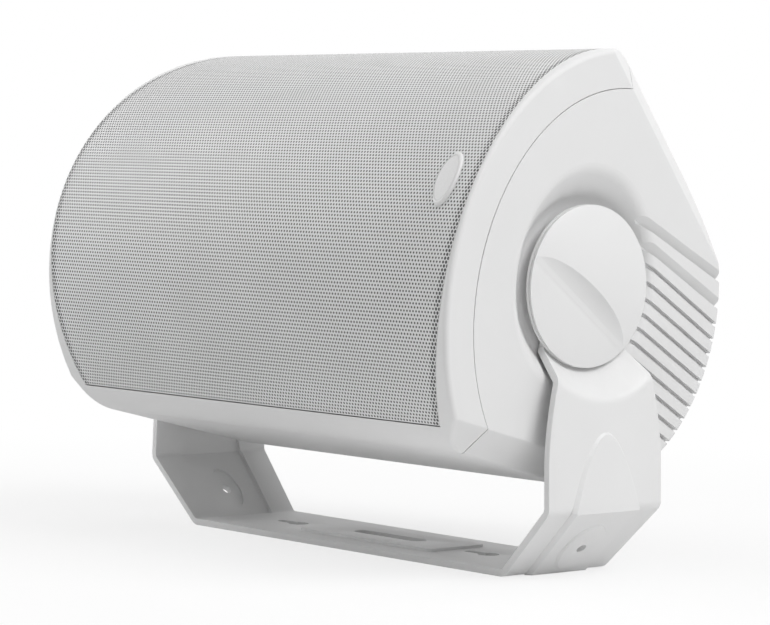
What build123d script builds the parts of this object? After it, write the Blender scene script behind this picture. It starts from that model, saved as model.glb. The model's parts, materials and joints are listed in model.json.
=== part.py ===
from build123d import *
import os
from math import acos, atan2, cos, hypot, radians, sin, sqrt, tan

os.makedirs("parts", exist_ok=True)

# Outdoor two-way speaker held by a knob at each end in a tilting yoke bracket.
# Millimetres, +Z up, z = 0 under the bracket base, X along the cabinet, -Y to the front.
# In the cabinet u runs backwards and v upwards, both measured from the pivot axis.

# Pose
PIVOT_HEIGHT = 125.0
TILT_DEG = 29.5

# Cabinet section across X
FRONT_CENTER_U = 14.2
FRONT_RADIUS = 109.0
GRILLE_HALF_DEG = 56.6
GRILLE_LIP = 1.2
SEAM_U = -27.5
SHOULDER_RISE = 3.6
REAR_CENTER_U = 20.3
REAR_RADIUS = 78.2

# Cabinet ends, which lean inwards towards the back
END_HALF_LENGTH = 127.0
END_SLOPE_DEG = 9.1
CHAMFER_RUN = 12.4
CHAMFER_DROP = 8.8
EDGE_ROUND = 2.0
WALL = 3.5
END_WALL = 6.0
TOOL_REACH = 160.0

# Seam between the baffle and the rear cabinet
SEAM_APEX_SETBACK = 17.4
SEAM_GAP = 0.6
SEAM_GROOVE_DEPTH = 0.9
GASKET_CLEARANCE = 0.05

# Baffle panel behind the grille
PANEL_SETBACK = 32.8
PANEL_THICKNESS = 5.0
WINDOW_MARGIN = 16.0
TUB_CLEARANCE = 0.4
MATING_CLEARANCE = 0.3

# Grille
GRILLE_END_HALF_LENGTH = 108.7
GRILLE_END_SLOPE = 0.334
GRILLE_SHEET = 1.0
GRILLE_HEM_DEPTH = 4.0
GRILLE_LEDGE = 5.0
GRILLE_CLEARANCE = 0.25
SCRIM_THICKNESS = 0.5
SCRIM_GAP = 0.05
SCRIM_MARGIN = 2.5
BADGE_X = 124.5
BADGE_V = -2.0
BADGE_LENGTH = 25.0
BADGE_WIDTH = 12.0
BADGE_THICKNESS = 1.6
BADGE_EDGE = 1.2
BADGE_SEAT = 0.05

# Dish and ribs on each cabinet end
DISH_FLOOR_X = 117.2
DISH_FLOOR_RADIUS = 37.5
DISH_WALL_DEG = 42.0
DISH_CORNER = 5.0
DISH_RIM = 7.0
DISH_WALL = 4.0
RIB_PITCH = 6.6
RIB_COUNT = 10
RIB_GROOVE = 1.9
RIB_DEPTH = 3.0
RIB_START_U = 24.0
RIB_TURN_U = 90.0
RIB_TURN_DEG = 2.8
WIDE_GROOVE = 4.6
WIDE_DEPTH = 3.6
WIDE_INNER_V = 38.7
WIDE_INNER_FAN_DEG = 1.5
WIDE_OUTER_V = 49.6
WIDE_OUTER_FAN_DEG = 3.9

# Pivot: spigot, insert, washer, knob and stud
SPIGOT_RADIUS = 10.0
SPIGOT_BORE_RADIUS = 7.0
PIVOT_CLEARANCE = 0.08
INSERT_LENGTH = 13.5
INSERT_CLEARANCE = 0.05
BOSS_WALL = 4.0
BOSS_END = 2.5
WASHER_RADIUS = 21.0
WASHER_THICKNESS = 1.0
BODY_GAP = 0.3
KNOB_RADIUS = 35.0
KNOB_THICKNESS = 4.5
KNOB_EDGE = 1.3
KNOB_CROWN = 0.7
KNOB_GROOVE = 0.7
KNOB_GROOVE_DEPTH = 1.2
KNOB_GROOVE_SETBACK = 1.5
HUB_LENGTH = 9.8
HUB_CLEARANCE = 0.2
STUD_RADIUS = 4.0
STUD_CLEARANCE = 0.05
STUD_SEAT = 7.5
SCOOP_HALF_CHORD = 31.5
SCOOP_FLOOR = 9.0
SCOOP_FLOOR_DEG = 15.0
SCOOP_ROUND = 4.0
SCOOP_CHORD_OFFSET = 12.8
SCOOP_TURN_DEG = -36.7

# Bracket, one folded sheet
SHEET = 3.0
BASE_HALF_LENGTH = 107.9
BASE_HALF_WIDTH = 30.5
ARM_BEND_X = 138.0
ARM_BEND_Z = 29.9
ARM_LEAN_DEG = 2.0
ARM_HALF_WIDTH = 34.0
ARM_TAPER_Z = 48.0
ARM_MID_HALF_WIDTH = 30.6
ARM_MID_Z = 77.0
ARM_NECK_HALF_WIDTH = 26.4
ARM_NECK_Z = 92.0
EYE_RADIUS = 22.5
EYE_BLEND_Z = 106.0
ARM_DISH_DEG = 40.5
ARM_DISH_CORNER = 1.0
ARM_DISH_LIP = 5.0
KNOB_SIDE_CLEARANCE = 0.6
BEND_RADIUS = 6.0
PAD_HEIGHT = 1.8
PAD_BASE_HALF_WIDTH = 18.0
PAD_BEND_HALF_WIDTH = 20.5
PAD_APEX_Z = 64.0
PAD_APEX_HEIGHT = 0.9
PAD_EDGE = 1.6
SIDE_HOLE_RADIUS = 2.4
SIDE_HOLE_Z = 13.9
HOLE_BOSS_HALF_WIDTH = 10.5
HOLE_BOSS_HALF_HEIGHT = 15.0
HOLE_BOSS_RISE = 0.9
HOLE_BOSS_EDGE = 0.8
KEYHOLE_X = 66.0
KEYHOLE_HEAD_RADIUS = 5.0
KEYHOLE_SLOT_WIDTH = 5.2
KEYHOLE_TRAVEL = 12.0
CENTER_SLOT_LENGTH = 46.0
CENTER_SLOT_WIDTH = 9.0
BAND_RAISE = 1.2
BAND_HALF_WIDTH = 17.0
BAND_HALF_LENGTH = 46.0

# Woofer
WOOFER_X = 42.0
WOOFER_MARGIN = 8.0
WOOFER_SEAT = 9.0
FLANGE_THICKNESS = 4.0
FLANGE_WIDTH = 15.0
SURROUND_WIDTH = 6.0
BASKET_WALL = 2.0
BASKET_DEPTH = 36.0
BASKET_FLOOR_RADIUS = 38.0
BASKET_LEG_COUNT = 6
BASKET_WINDOW_DEG = 42.0
DRIVER_GASKET = 1.0
LANDING_DEPTH = 23.0
LANDING_RADIUS = 30.0
LANDING_WIDTH = 4.0
CONE_NECK_RADIUS = 14.0
CONE_DEPTH = 22.0
CONE_SHEET = 0.9
CAP_RADIUS = 17.0
CAP_RISE = 7.0
ROLL_SHEET = 0.9
SPIDER_SHEET = 0.6
SPIDER_WAVE_COUNT = 3
POLE_RADIUS = 12.3
COIL_INNER_RADIUS = 12.6
COIL_WALL = 0.7
COIL_LENGTH = 28.0
GAP_RADIUS = 13.7
TOP_PLATE = 5.0
MAGNET_THICKNESS = 15.0
MAGNET_RADIUS = 42.0
MAGNET_HOLE_RADIUS = 19.0
BACK_PLATE = 5.0
DRIVER_SCREW_COUNT = 4
WOOFER_SCREW_INSET = 4.5

# Tweeter
TWEETER_X = -72.0
TWEETER_RADIUS = 40.0
TWEETER_PLATE = 3.5
TWEETER_CUTOUT_RADIUS = 29.0
TWEETER_THROAT_RADIUS = 14.0
TWEETER_MOUTH_RADIUS = 21.0
DOME_RADIUS = 13.0
DOME_RISE = 6.5
DOME_SHEET = 0.6
TWEETER_CAN_RADIUS = 27.0
TWEETER_CAN_DEPTH = 20.0
TWEETER_SCREW_RADIUS = 35.0

# Screws
SCREW_RADIUS = 1.7
SCREW_HEAD_RADIUS = 3.4
SCREW_HEAD_HEIGHT = 2.2
SCREW_LENGTH = 12.0
SCREW_CLEARANCE = 0.05
SCREW_SOCKET_WIDTH = 2.2
SCREW_SOCKET_DEPTH = 1.2
BAFFLE_SCREW_INSET = 7.0
BAFFLE_SCREW_END_X = 112.0
BAFFLE_SCREW_MID_X = -28.0
BAFFLE_BOSS_RADIUS = 6.0
BAFFLE_BOSS_LENGTH = 62.0
GUSSET_WIDTH = 4.0
GUSSET_LENGTH = 30.0

# Terminals on the rear
POCKET_LENGTH = 78.0
POCKET_HEIGHT = 46.0
POCKET_FLOOR_U = 78.0
POCKET_CORNER = 6.0
POCKET_WALL = 3.5
PLATE_LENGTH = 66.0
PLATE_HEIGHT = 36.0
PLATE_THICKNESS = 3.0
PLATE_MARGIN = 5.0
PORTAL_LENGTH = 46.0
PORTAL_HEIGHT = 24.0
POST_SPACING = 19.0
POST_BASE_RADIUS = 6.0
POST_BASE_HEIGHT = 4.0
POST_STUD_RADIUS = 2.4
POST_STUD_LENGTH = 16.0
POST_TAIL_LENGTH = 8.0
CAP_NUT_RADIUS = 5.6
CAP_NUT_LENGTH = 10.5
CAP_NUT_SIDE_COUNT = 12
CAP_NUT_GAP = 0.4

# Crossover board behind the terminals
BOARD_LENGTH = 92.0
BOARD_HEIGHT = 60.0
BOARD_THICKNESS = 1.6
BOARD_FRONT_U = 58.0
BOARD_HOLE_X = 41.0
BOARD_HOLE_V = 25.0
STANDOFF_RADIUS = 4.0
COIL_RADIUS = 14.0
COIL_CORE_RADIUS = 5.0
COIL_HEIGHT = 11.0
COIL_X = 26.0
CAPACITOR_RADIUS = 6.0
CAPACITOR_LENGTH = 22.0
RESISTOR_LENGTH = 20.0
RESISTOR_SIZE = 8.0

# Values worked out from the sizes above
tilt = radians(TILT_DEG)
BACK = Vector(0, cos(tilt), -sin(tilt))
UP = Vector(0, sin(tilt), cos(tilt))
ALONG = Vector(1, 0, 0)
PIVOT = Vector(0, 0, PIVOT_HEIGHT)
PIVOT_AXIS = Axis(PIVOT, ALONG)
end_slope = tan(radians(END_SLOPE_DEG))
front_u = FRONT_CENTER_U - FRONT_RADIUS
grille_half_height = FRONT_RADIUS * sin(radians(GRILLE_HALF_DEG))
shoulder_half_height = grille_half_height + SHOULDER_RISE
seam_apex_u = front_u + SEAM_APEX_SETBACK
panel_front_u = front_u + PANEL_SETBACK
panel_back_u = panel_front_u + PANEL_THICKNESS
window_half_height = grille_half_height - WINDOW_MARGIN
baffle_screw_v = window_half_height - BAFFLE_SCREW_INSET
woofer_radius = window_half_height - WOOFER_MARGIN
woofer_cutout_radius = woofer_radius - WOOFER_SEAT
woofer_screw_radius = woofer_radius - WOOFER_SCREW_INSET
flange_inner_radius = woofer_radius - FLANGE_WIDTH
cone_radius = flange_inner_radius - SURROUND_WIDTH
grille_inner_radius = FRONT_RADIUS - GRILLE_SHEET
seat_radius = grille_inner_radius - SCRIM_THICKNESS - GRILLE_CLEARANCE
corner_v = grille_half_height + GRILLE_LIP
corner_u = FRONT_CENTER_U - sqrt(FRONT_RADIUS**2 - corner_v**2)
seam_reach = hypot(SEAM_U - REAR_CENTER_U, shoulder_half_height)
seam_angle = atan2(shoulder_half_height, SEAM_U - REAR_CENTER_U)
taper_angle = seam_angle - acos(REAR_RADIUS / seam_reach)
taper_u = REAR_CENTER_U + REAR_RADIUS * cos(taper_angle)
taper_v = REAR_RADIUS * sin(taper_angle)
nose_u = REAR_CENTER_U + REAR_RADIUS
seam_half_height = shoulder_half_height - CHAMFER_RUN

# Stack along the pivot axis, from the dish floor outwards
washer_x = DISH_FLOOR_X + WASHER_THICKNESS
eye_inner_x = washer_x + BODY_GAP
eye_outer_x = eye_inner_x + SHEET
knob_back_x = eye_outer_x + BODY_GAP
knob_face_x = knob_back_x + KNOB_THICKNESS
spigot_x = eye_outer_x - BODY_GAP
hub_end_x = knob_back_x - HUB_LENGTH
insert_outer_x = hub_end_x - BODY_GAP
insert_inner_x = insert_outer_x - INSERT_LENGTH
boss_x = insert_inner_x - BOSS_END
eye_hole_radius = SPIGOT_RADIUS + PIVOT_CLEARANCE


def at(u, v, x):
    """Point of the cabinet in world coordinates."""
    return PIVOT + BACK * u + UP * v + ALONG * x


def section_plane(x=0.0):
    """Plane across the cabinet: local x is u, local y is v."""
    return Plane(origin=at(0, 0, x), x_dir=BACK, z_dir=ALONG)


def baffle_plane(u):
    """Plane that faces the front: local x is X, local y is v."""
    return Plane(origin=at(u, 0, 0), x_dir=ALONG, z_dir=BACK * -1)


def rear_plane(u):
    """Plane that faces the back: local x is -X, local y is v."""
    return Plane(origin=at(u, 0, 0), x_dir=ALONG * -1, z_dir=BACK)


def spin_plane(x, u, v=0.0):
    """Plane through a driver's axis: local x is the radius, local y points to the front."""
    return Plane(origin=at(u, v, x), x_dir=ALONG, z_dir=ALONG.cross(BACK * -1))


def spin_axis(x, u, v=0.0):
    """A driver's axis, pointing to the front."""
    return Axis(at(u, v, x), BACK * -1)


def pivot_profile_plane():
    """Plane through the pivot axis: local x is X, local y is the radius."""
    return Plane(origin=PIVOT, x_dir=ALONG, z_dir=(0, -1, 0))


def end_plane(side, inset=0.0):
    """Leaning plane of one cabinet end, facing outwards."""
    normal = (ALONG * side + BACK * end_slope).normalized()
    slope = (BACK - ALONG * side * end_slope).normalized()
    return Plane(origin=at(0, 0, side * END_HALF_LENGTH) - normal * inset, x_dir=slope, z_dir=normal)


def chamfer_plane(side, top, inset=0.0):
    """Plane of the long chamfer between a cabinet end and its upper or lower flank."""
    end_x = side * (END_HALF_LENGTH - SEAM_U * end_slope)
    on_end = at(SEAM_U, top * seam_half_height, end_x)
    on_flank = at(SEAM_U, top * shoulder_half_height, end_x - side * CHAMFER_DROP)
    flank_slope = (taper_v - shoulder_half_height) / (taper_u - SEAM_U)
    run = (BACK + UP * top * flank_slope - ALONG * side * end_slope).normalized()
    normal = run.cross(on_flank - on_end).normalized()
    if normal.dot(ALONG) * side < 0:
        normal = normal * -1
    return Plane(origin=on_end - normal * inset, x_dir=run, z_dir=normal)


def grille_end_plane(side, grow=0.0):
    """Leaning plane of one curved end edge of the grille, facing outwards."""
    normal = (ALONG * side + BACK * GRILLE_END_SLOPE).normalized()
    slope = (BACK - ALONG * side * GRILLE_END_SLOPE).normalized()
    return Plane(origin=at(0, 0, side * GRILLE_END_HALF_LENGTH) + normal * grow, x_dir=slope, z_dir=normal)


def enclosure(inset, end_inset):
    """Body of the cabinet, or its inner room when inset."""
    with BuildPart() as body:
        with BuildSketch(section_plane()):
            with BuildLine():
                front = ThreePointArc(
                    (corner_u, -corner_v),
                    (front_u, 0),
                    (corner_u, corner_v),
                )
                TangentArc((corner_u, corner_v), (SEAM_U, shoulder_half_height), tangent=front % 1)
                Line((SEAM_U, shoulder_half_height), (taper_u, taper_v))
                ThreePointArc((taper_u, taper_v), (nose_u, 0), (taper_u, -taper_v))
                Line((taper_u, -taper_v), (SEAM_U, -shoulder_half_height))
                TangentArc((corner_u, -corner_v), (SEAM_U, -shoulder_half_height), tangent=(front % 0) * -1)
            make_face()
            if inset:
                offset(amount=-inset, kind=Kind.INTERSECTION)
        extrude(amount=TOOL_REACH, both=True)
        for side in (1, -1):
            split(bisect_by=end_plane(side, end_inset), keep=Keep.BOTTOM)
            for top in (1, -1):
                split(bisect_by=chamfer_plane(side, top, inset), keep=Keep.BOTTOM)
    return body.part


def ahead_of_seam(shift=0.0):
    """Everything in front of the seam surface, moved back by shift."""
    seam_u = SEAM_U + shift
    with BuildPart() as ahead:
        with BuildSketch(section_plane()):
            with BuildLine():
                ThreePointArc(
                    (seam_u, -seam_half_height),
                    (seam_apex_u + shift, 0),
                    (seam_u, seam_half_height),
                )
                Polyline(
                    (seam_u, seam_half_height),
                    (seam_u, TOOL_REACH),
                    (-TOOL_REACH, TOOL_REACH),
                    (-TOOL_REACH, -TOOL_REACH),
                    (seam_u, -TOOL_REACH),
                    (seam_u, -seam_half_height),
                )
            make_face()
        extrude(amount=TOOL_REACH, both=True)
    return ahead.part


def grille_band(inner_radius, outer_radius, half_height, grow):
    """Curved band of the grille's cylinder between its two leaning end planes."""
    with BuildPart() as band:
        with BuildSketch(section_plane()):
            with Locations((FRONT_CENTER_U, 0)):
                Circle(outer_radius)
                Circle(inner_radius, mode=Mode.SUBTRACT)
            with Locations((front_u, 0)):
                Rectangle(2 * FRONT_RADIUS, 2 * half_height, mode=Mode.INTERSECT)
        extrude(amount=TOOL_REACH, both=True)
        for side in (1, -1):
            split(bisect_by=grille_end_plane(side, grow), keep=Keep.BOTTOM)
    return band.part


def hem_frame(inner_radius, outer_radius, width, clearance):
    """Turned-in edge all round the grille, or the groove for it when it has clearance."""
    ring = grille_band(inner_radius, outer_radius, grille_half_height + clearance, clearance)
    core_half_height = grille_half_height - width - clearance
    core_inner = inner_radius - GRILLE_SHEET
    core_outer = outer_radius + GRILLE_SHEET
    core = grille_band(core_inner, core_outer, core_half_height, -width - clearance)
    with BuildPart() as frame:
        add(ring)
        add(core, mode=Mode.SUBTRACT)
    return frame.part


def screw(plane, length):
    """Round-headed screw whose head sits on the plane, pointing against the plane's normal."""
    with BuildPart() as one:
        with BuildSketch(plane):
            Circle(SCREW_RADIUS)
        extrude(amount=-length)
        with BuildSketch(plane):
            Circle(SCREW_HEAD_RADIUS)
        extrude(amount=SCREW_HEAD_HEIGHT)
        rim = one.faces().sort_by(Axis(plane.origin, plane.z_dir))[-1].edges()
        fillet(rim, radius=SCREW_HEAD_HEIGHT / 3)
        with BuildSketch(plane.offset(SCREW_HEAD_HEIGHT)):
            RegularPolygon(SCREW_SOCKET_WIDTH / 2, 6)
        extrude(amount=-SCREW_SOCKET_DEPTH, mode=Mode.SUBTRACT)
    return one.part


def ring_of_screws(plane, radius, turn):
    """The screws that hold one driver."""
    with BuildPart() as ring:
        for place in PolarLocations(radius, DRIVER_SCREW_COUNT, turn):
            add(screw(Plane(plane.location * place), SCREW_LENGTH))
    return ring.part


# Closed body of the cabinet with its edges rounded
with BuildPart() as outer_body:
    add(enclosure(0, 0))
    end_faces = outer_body.faces().filter_by(lambda f: abs(f.normal_at().dot(ALONG)) > cos(radians(60)))
    fillet(end_faces.edges(), radius=EDGE_ROUND)
outer = outer_body.part
inner = enclosure(WALL, END_WALL)

# Mounting bracket
bend_slope = atan2(ARM_BEND_Z, ARM_BEND_X - BASE_HALF_LENGTH)
eye_top_z = PIVOT_HEIGHT + EYE_RADIUS
arm_lean = tan(radians(ARM_LEAN_DEG))
arm_top_z = eye_top_z + SHEET
arm_top_x = ARM_BEND_X - arm_lean * (arm_top_z - ARM_BEND_Z)
pad_apex_x = ARM_BEND_X - arm_lean * (PAD_APEX_Z - ARM_BEND_Z) + PAD_APEX_HEIGHT
pad_foot_x = BASE_HALF_LENGTH + PAD_HEIGHT / sin(bend_slope)
pad_bend_x = ARM_BEND_X + PAD_HEIGHT
pad_bend_z = (pad_bend_x - pad_foot_x) * tan(bend_slope)
half_outline = [
    (BASE_HALF_LENGTH, 0),
    (ARM_BEND_X, ARM_BEND_Z),
    (arm_top_x, arm_top_z),
]
outline = [(-x, z) for x, z in reversed(half_outline)] + half_outline


def pad_solid(sink):
    """Embossed pad over the lower bend of the right arm, or the hollow behind it when sunk by the sheet."""
    slide_x = sink * sin(bend_slope)
    slide_z = sink * cos(bend_slope)
    inset = sink / 2
    bend_half_width = PAD_BEND_HALF_WIDTH - inset
    foot_half_width = PAD_BASE_HALF_WIDTH - inset
    with BuildPart() as pad:
        with BuildSketch(Plane.XZ):
            Polygon(
                (pad_foot_x - SHEET - slide_x, slide_z),
                (pad_foot_x - slide_x, slide_z),
                (pad_bend_x - sink, pad_bend_z + sink * tan(bend_slope / 2)),
                (pad_apex_x - sink, PAD_APEX_Z),
                (pad_apex_x - SHEET - sink, PAD_APEX_Z),
                (ARM_BEND_X - SHEET - sink, ARM_BEND_Z + sink),
                align=None,
            )
        extrude(amount=ARM_HALF_WIDTH, both=True)
        with BuildSketch(Plane.YZ):
            with BuildLine():
                arch = Bezier(
                    (bend_half_width, ARM_BEND_Z),
                    (0, 2 * (PAD_APEX_Z - inset) - ARM_BEND_Z),
                    (-bend_half_width, ARM_BEND_Z),
                )
                Polyline(
                    arch @ 1,
                    (-foot_half_width, 0),
                    (foot_half_width, 0),
                    arch @ 0,
                )
            make_face()
        extrude(amount=TOOL_REACH, mode=Mode.INTERSECT)
    return pad.part


with BuildPart() as pad_form:
    add(pad_solid(0))
    walls = pad_form.faces().filter_by(lambda f: abs(f.normal_at().X) < sin(radians(ARM_LEAN_DEG)) / 2)
    tops = pad_form.faces().filter_by(lambda f: f.normal_at().X > sin(bend_slope) / 2)
    borders = [e for e in tops.edges() if any(e.is_same(w) for w in walls.edges())]
    chamfer([e for e in borders if e.center().Z > 0], length=PAD_EDGE)


# Dish pressed into each arm round the pivot, so that the knob sits in it
arm_dish_tan = tan(radians(ARM_DISH_DEG))
arm_dish_radius = KNOB_RADIUS + KNOB_SIDE_CLEARANCE - (knob_back_x - eye_outer_x) * arm_dish_tan
sheet_spread = SHEET * tan(radians(45 - ARM_DISH_DEG / 2))
arm_plane = Plane(origin=(ARM_BEND_X, 0, ARM_BEND_Z), x_dir=(0, 1, 0), z_dir=(1, 0, arm_lean))


def arm_dish(floor_x, floor_radius):
    """Frustum round the pivot axis that opens outwards."""
    mouth_radius = floor_radius + (TOOL_REACH - floor_x) * arm_dish_tan
    with BuildPart() as frustum:
        with BuildSketch(pivot_profile_plane()) as profile:
            Polygon(
                (floor_x, 0),
                (floor_x, floor_radius),
                (TOOL_REACH, mouth_radius),
                (TOOL_REACH, 0),
                align=None,
            )
            fillet(profile.vertices().sort_by(Axis.X)[:2].sort_by(Axis.Y)[-1], radius=ARM_DISH_CORNER)
        revolve(axis=PIVOT_AXIS)
    return frustum.part


with BuildPart() as dish_form:
    add(arm_dish(eye_inner_x, arm_dish_radius + sheet_spread))
    split(bisect_by=arm_plane, keep=Keep.BOTTOM)
dish_hollow = arm_dish(eye_outer_x, arm_dish_radius)
pad_inner = pad_solid(SHEET)
with BuildPart() as mounting_bracket:
    with BuildSketch(Plane.XZ):
        with BuildLine():
            folded = FilletPolyline(*outline, radius=BEND_RADIUS)
            offset(folded, amount=SHEET, side=Side.LEFT)
        make_face()
    extrude(amount=ARM_HALF_WIDTH, both=True)
    for tool, mode in ((dish_form.part, Mode.ADD), (dish_hollow, Mode.SUBTRACT)):
        add(tool, mode=mode)
        add(mirror(tool, about=Plane.YZ, mode=Mode.PRIVATE), mode=mode)
    lips = mounting_bracket.edges().filter_by(GeomType.ELLIPSE).filter_by_position(Axis.Y, -SHEET, SHEET)
    fillet(lips.sort_by(Axis.Z)[-2:], radius=ARM_DISH_LIP)
    lips = mounting_bracket.edges().filter_by(GeomType.ELLIPSE).filter_by_position(Axis.Y, -SHEET, SHEET)
    fillet(lips.sort_by(Axis.Z)[:2], radius=ARM_DISH_LIP - SHEET)
    with BuildSketch(Plane.YZ):
        with BuildLine():
            Polyline(
                (0, 0),
                (BASE_HALF_WIDTH, 0),
                (ARM_HALF_WIDTH, ARM_BEND_Z),
                (ARM_HALF_WIDTH, ARM_TAPER_Z),
            )
            Spline(
                (ARM_HALF_WIDTH, ARM_TAPER_Z),
                (ARM_MID_HALF_WIDTH, ARM_MID_Z),
                (ARM_NECK_HALF_WIDTH, ARM_NECK_Z),
                (EYE_RADIUS, EYE_BLEND_Z),
                tangents=((0, 1), (0, 1)),
            )
            Line((EYE_RADIUS, EYE_BLEND_Z), (EYE_RADIUS, PIVOT_HEIGHT))
            CenterArc((0, PIVOT_HEIGHT), EYE_RADIUS, 0, 90)
            mirror(about=Plane.YZ)
        make_face()
    extrude(amount=TOOL_REACH, both=True, mode=Mode.INTERSECT)
    for pad, mode in ((pad_form.part, Mode.ADD), (pad_inner, Mode.SUBTRACT)):
        add(pad, mode=mode)
        add(mirror(pad, about=Plane.YZ, mode=Mode.PRIVATE), mode=mode)
    with BuildSketch(Plane.XY.offset(SHEET)):
        RectangleRounded(2 * BAND_HALF_LENGTH, 2 * BAND_HALF_WIDTH, SHEET)
    extrude(amount=BAND_RAISE)
    with BuildSketch(Plane.XY):
        RectangleRounded(2 * BAND_HALF_LENGTH - SHEET, 2 * BAND_HALF_WIDTH - SHEET, SHEET)
    extrude(amount=BAND_RAISE, mode=Mode.SUBTRACT)
    with BuildSketch(Plane.XY):
        SlotOverall(CENTER_SLOT_LENGTH, CENTER_SLOT_WIDTH)
        for keyhole_x in (-KEYHOLE_X, KEYHOLE_X):
            with Locations((keyhole_x, 0)):
                Circle(KEYHOLE_HEAD_RADIUS)
            with Locations((keyhole_x - KEYHOLE_TRAVEL / 2, 0)):
                SlotCenterToCenter(KEYHOLE_TRAVEL, KEYHOLE_SLOT_WIDTH)
    extrude(amount=SHEET + BAND_RAISE, mode=Mode.SUBTRACT)
    for side in (1, -1):
        hole_x = side * (BASE_HALF_LENGTH + SIDE_HOLE_Z / tan(bend_slope))
        facing = Vector(side * sin(bend_slope), 0, -cos(bend_slope))
        hole_plane = Plane(origin=(hole_x, 0, SIDE_HOLE_Z), x_dir=(0, 1, 0), z_dir=facing)
        with BuildSketch(hole_plane.offset(PAD_HEIGHT)):
            Ellipse(HOLE_BOSS_HALF_WIDTH, HOLE_BOSS_HALF_HEIGHT)
        extrude(amount=HOLE_BOSS_RISE)
        boss_face = mounting_bracket.faces().sort_by(Axis(hole_plane.origin, facing))[-1]
        chamfer(boss_face.outer_wire().edges(), length=HOLE_BOSS_EDGE)
        with BuildSketch(hole_plane.offset(PAD_HEIGHT - SHEET)):
            Ellipse(HOLE_BOSS_HALF_WIDTH - SHEET, HOLE_BOSS_HALF_HEIGHT - SHEET)
        extrude(amount=HOLE_BOSS_RISE, mode=Mode.SUBTRACT)
        with BuildSketch(hole_plane):
            Circle(SIDE_HOLE_RADIUS)
        extrude(amount=2 * SHEET, both=True, mode=Mode.SUBTRACT)
    with BuildSketch(section_plane()):
        Circle(eye_hole_radius)
    extrude(amount=TOOL_REACH, both=True, mode=Mode.SUBTRACT)
mounting_bracket.part.label = "mounting_bracket"
export_step(mounting_bracket.part, "parts/mounting_bracket.step")

# Front baffle: bezel band, tub and driver panel moulded in one
with BuildPart() as baffle_tub:
    add(enclosure(WALL, END_WALL + TUB_CLEARANCE))
    split(bisect_by=baffle_plane(panel_back_u), keep=Keep.TOP)
with BuildPart() as room_behind:
    add(inner)
    split(bisect_by=baffle_plane(panel_back_u), keep=Keep.BOTTOM)
with BuildPart() as front_window:
    with BuildSketch(baffle_plane(panel_front_u)):
        Rectangle(2 * TOOL_REACH, 2 * window_half_height)
    extrude(amount=TOOL_REACH)
    for side in (1, -1):
        split(bisect_by=grille_end_plane(side, -GRILLE_LEDGE), keep=Keep.BOTTOM)
grille_seat = grille_band(seat_radius, TOOL_REACH, grille_half_height + GRILLE_CLEARANCE, GRILLE_CLEARANCE)
hem_radius = FRONT_RADIUS - GRILLE_HEM_DEPTH
hem_groove = hem_frame(hem_radius - GRILLE_CLEARANCE, FRONT_RADIUS, GRILLE_SHEET, GRILLE_CLEARANCE)
baffle_screw_places = [
    (x, v) for x in (-BAFFLE_SCREW_END_X, BAFFLE_SCREW_MID_X, BAFFLE_SCREW_END_X)
    for v in (-baffle_screw_v, baffle_screw_v)
]
with BuildPart() as front_baffle:
    add(outer)
    add(ahead_of_seam(), mode=Mode.INTERSECT)
    add(baffle_tub.part)
    add(room_behind.part, mode=Mode.SUBTRACT)
    add(front_window.part, mode=Mode.SUBTRACT)
    add(grille_seat, mode=Mode.SUBTRACT)
    add(hem_groove, mode=Mode.SUBTRACT)
    with BuildSketch(baffle_plane(panel_front_u)):
        with Locations((WOOFER_X, 0)):
            Circle(woofer_cutout_radius)
            with PolarLocations(woofer_screw_radius, DRIVER_SCREW_COUNT, 180 / DRIVER_SCREW_COUNT):
                Circle(SCREW_RADIUS + SCREW_CLEARANCE)
        with Locations((TWEETER_X, 0)):
            Circle(TWEETER_CUTOUT_RADIUS)
            with PolarLocations(TWEETER_SCREW_RADIUS, DRIVER_SCREW_COUNT, 180 / DRIVER_SCREW_COUNT):
                Circle(SCREW_RADIUS + SCREW_CLEARANCE)
        with Locations(*baffle_screw_places):
            Circle(SCREW_RADIUS + SCREW_CLEARANCE)
    extrude(amount=-PANEL_THICKNESS, mode=Mode.SUBTRACT)
front_baffle.part.label = "front_baffle"
export_step(front_baffle.part, "parts/front_baffle.step")

# Dish with its floor and wall, on the right end
dish_tan = tan(radians(DISH_WALL_DEG))
dish_mouth_x = END_HALF_LENGTH + CHAMFER_RUN
dish_mouth_radius = DISH_FLOOR_RADIUS + (dish_mouth_x - DISH_FLOOR_X) * dish_tan
with BuildPart() as dish_cut:
    with BuildSketch(pivot_profile_plane()) as dish_profile:
        Polygon(
            (DISH_FLOOR_X, 0),
            (DISH_FLOOR_X, DISH_FLOOR_RADIUS),
            (dish_mouth_x, dish_mouth_radius),
            (dish_mouth_x, 0),
            align=None,
        )
        floor_corner = dish_profile.vertices().sort_by(Axis.X)[:2].sort_by(Axis.Y)[-1]
        fillet(floor_corner, radius=DISH_CORNER)
    revolve(axis=PIVOT_AXIS)
with BuildPart() as dish_shell:
    with BuildSketch(pivot_profile_plane()):
        Polygon(
            (DISH_FLOOR_X - DISH_WALL, 0),
            (DISH_FLOOR_X - DISH_WALL, DISH_FLOOR_RADIUS + DISH_WALL),
            (dish_mouth_x, dish_mouth_radius + 2 * DISH_WALL),
            (dish_mouth_x, 0),
            align=None,
        )
    revolve(axis=PIVOT_AXIS)
    add(outer, mode=Mode.INTERSECT)
    with BuildSketch(section_plane(boss_x)):
        Circle(SPIGOT_BORE_RADIUS + BOSS_WALL)
    extrude(amount=DISH_FLOOR_X - boss_x)

# Grooves between the ribs on the right end: narrow slots, and two wide louvres at each flank
groove_length = nose_u - RIB_START_U + END_WALL
rib_plane = Plane(end_plane(1).location * Location((RIB_TURN_U, 0, 0), (0, 0, RIB_TURN_DEG)))


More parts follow.
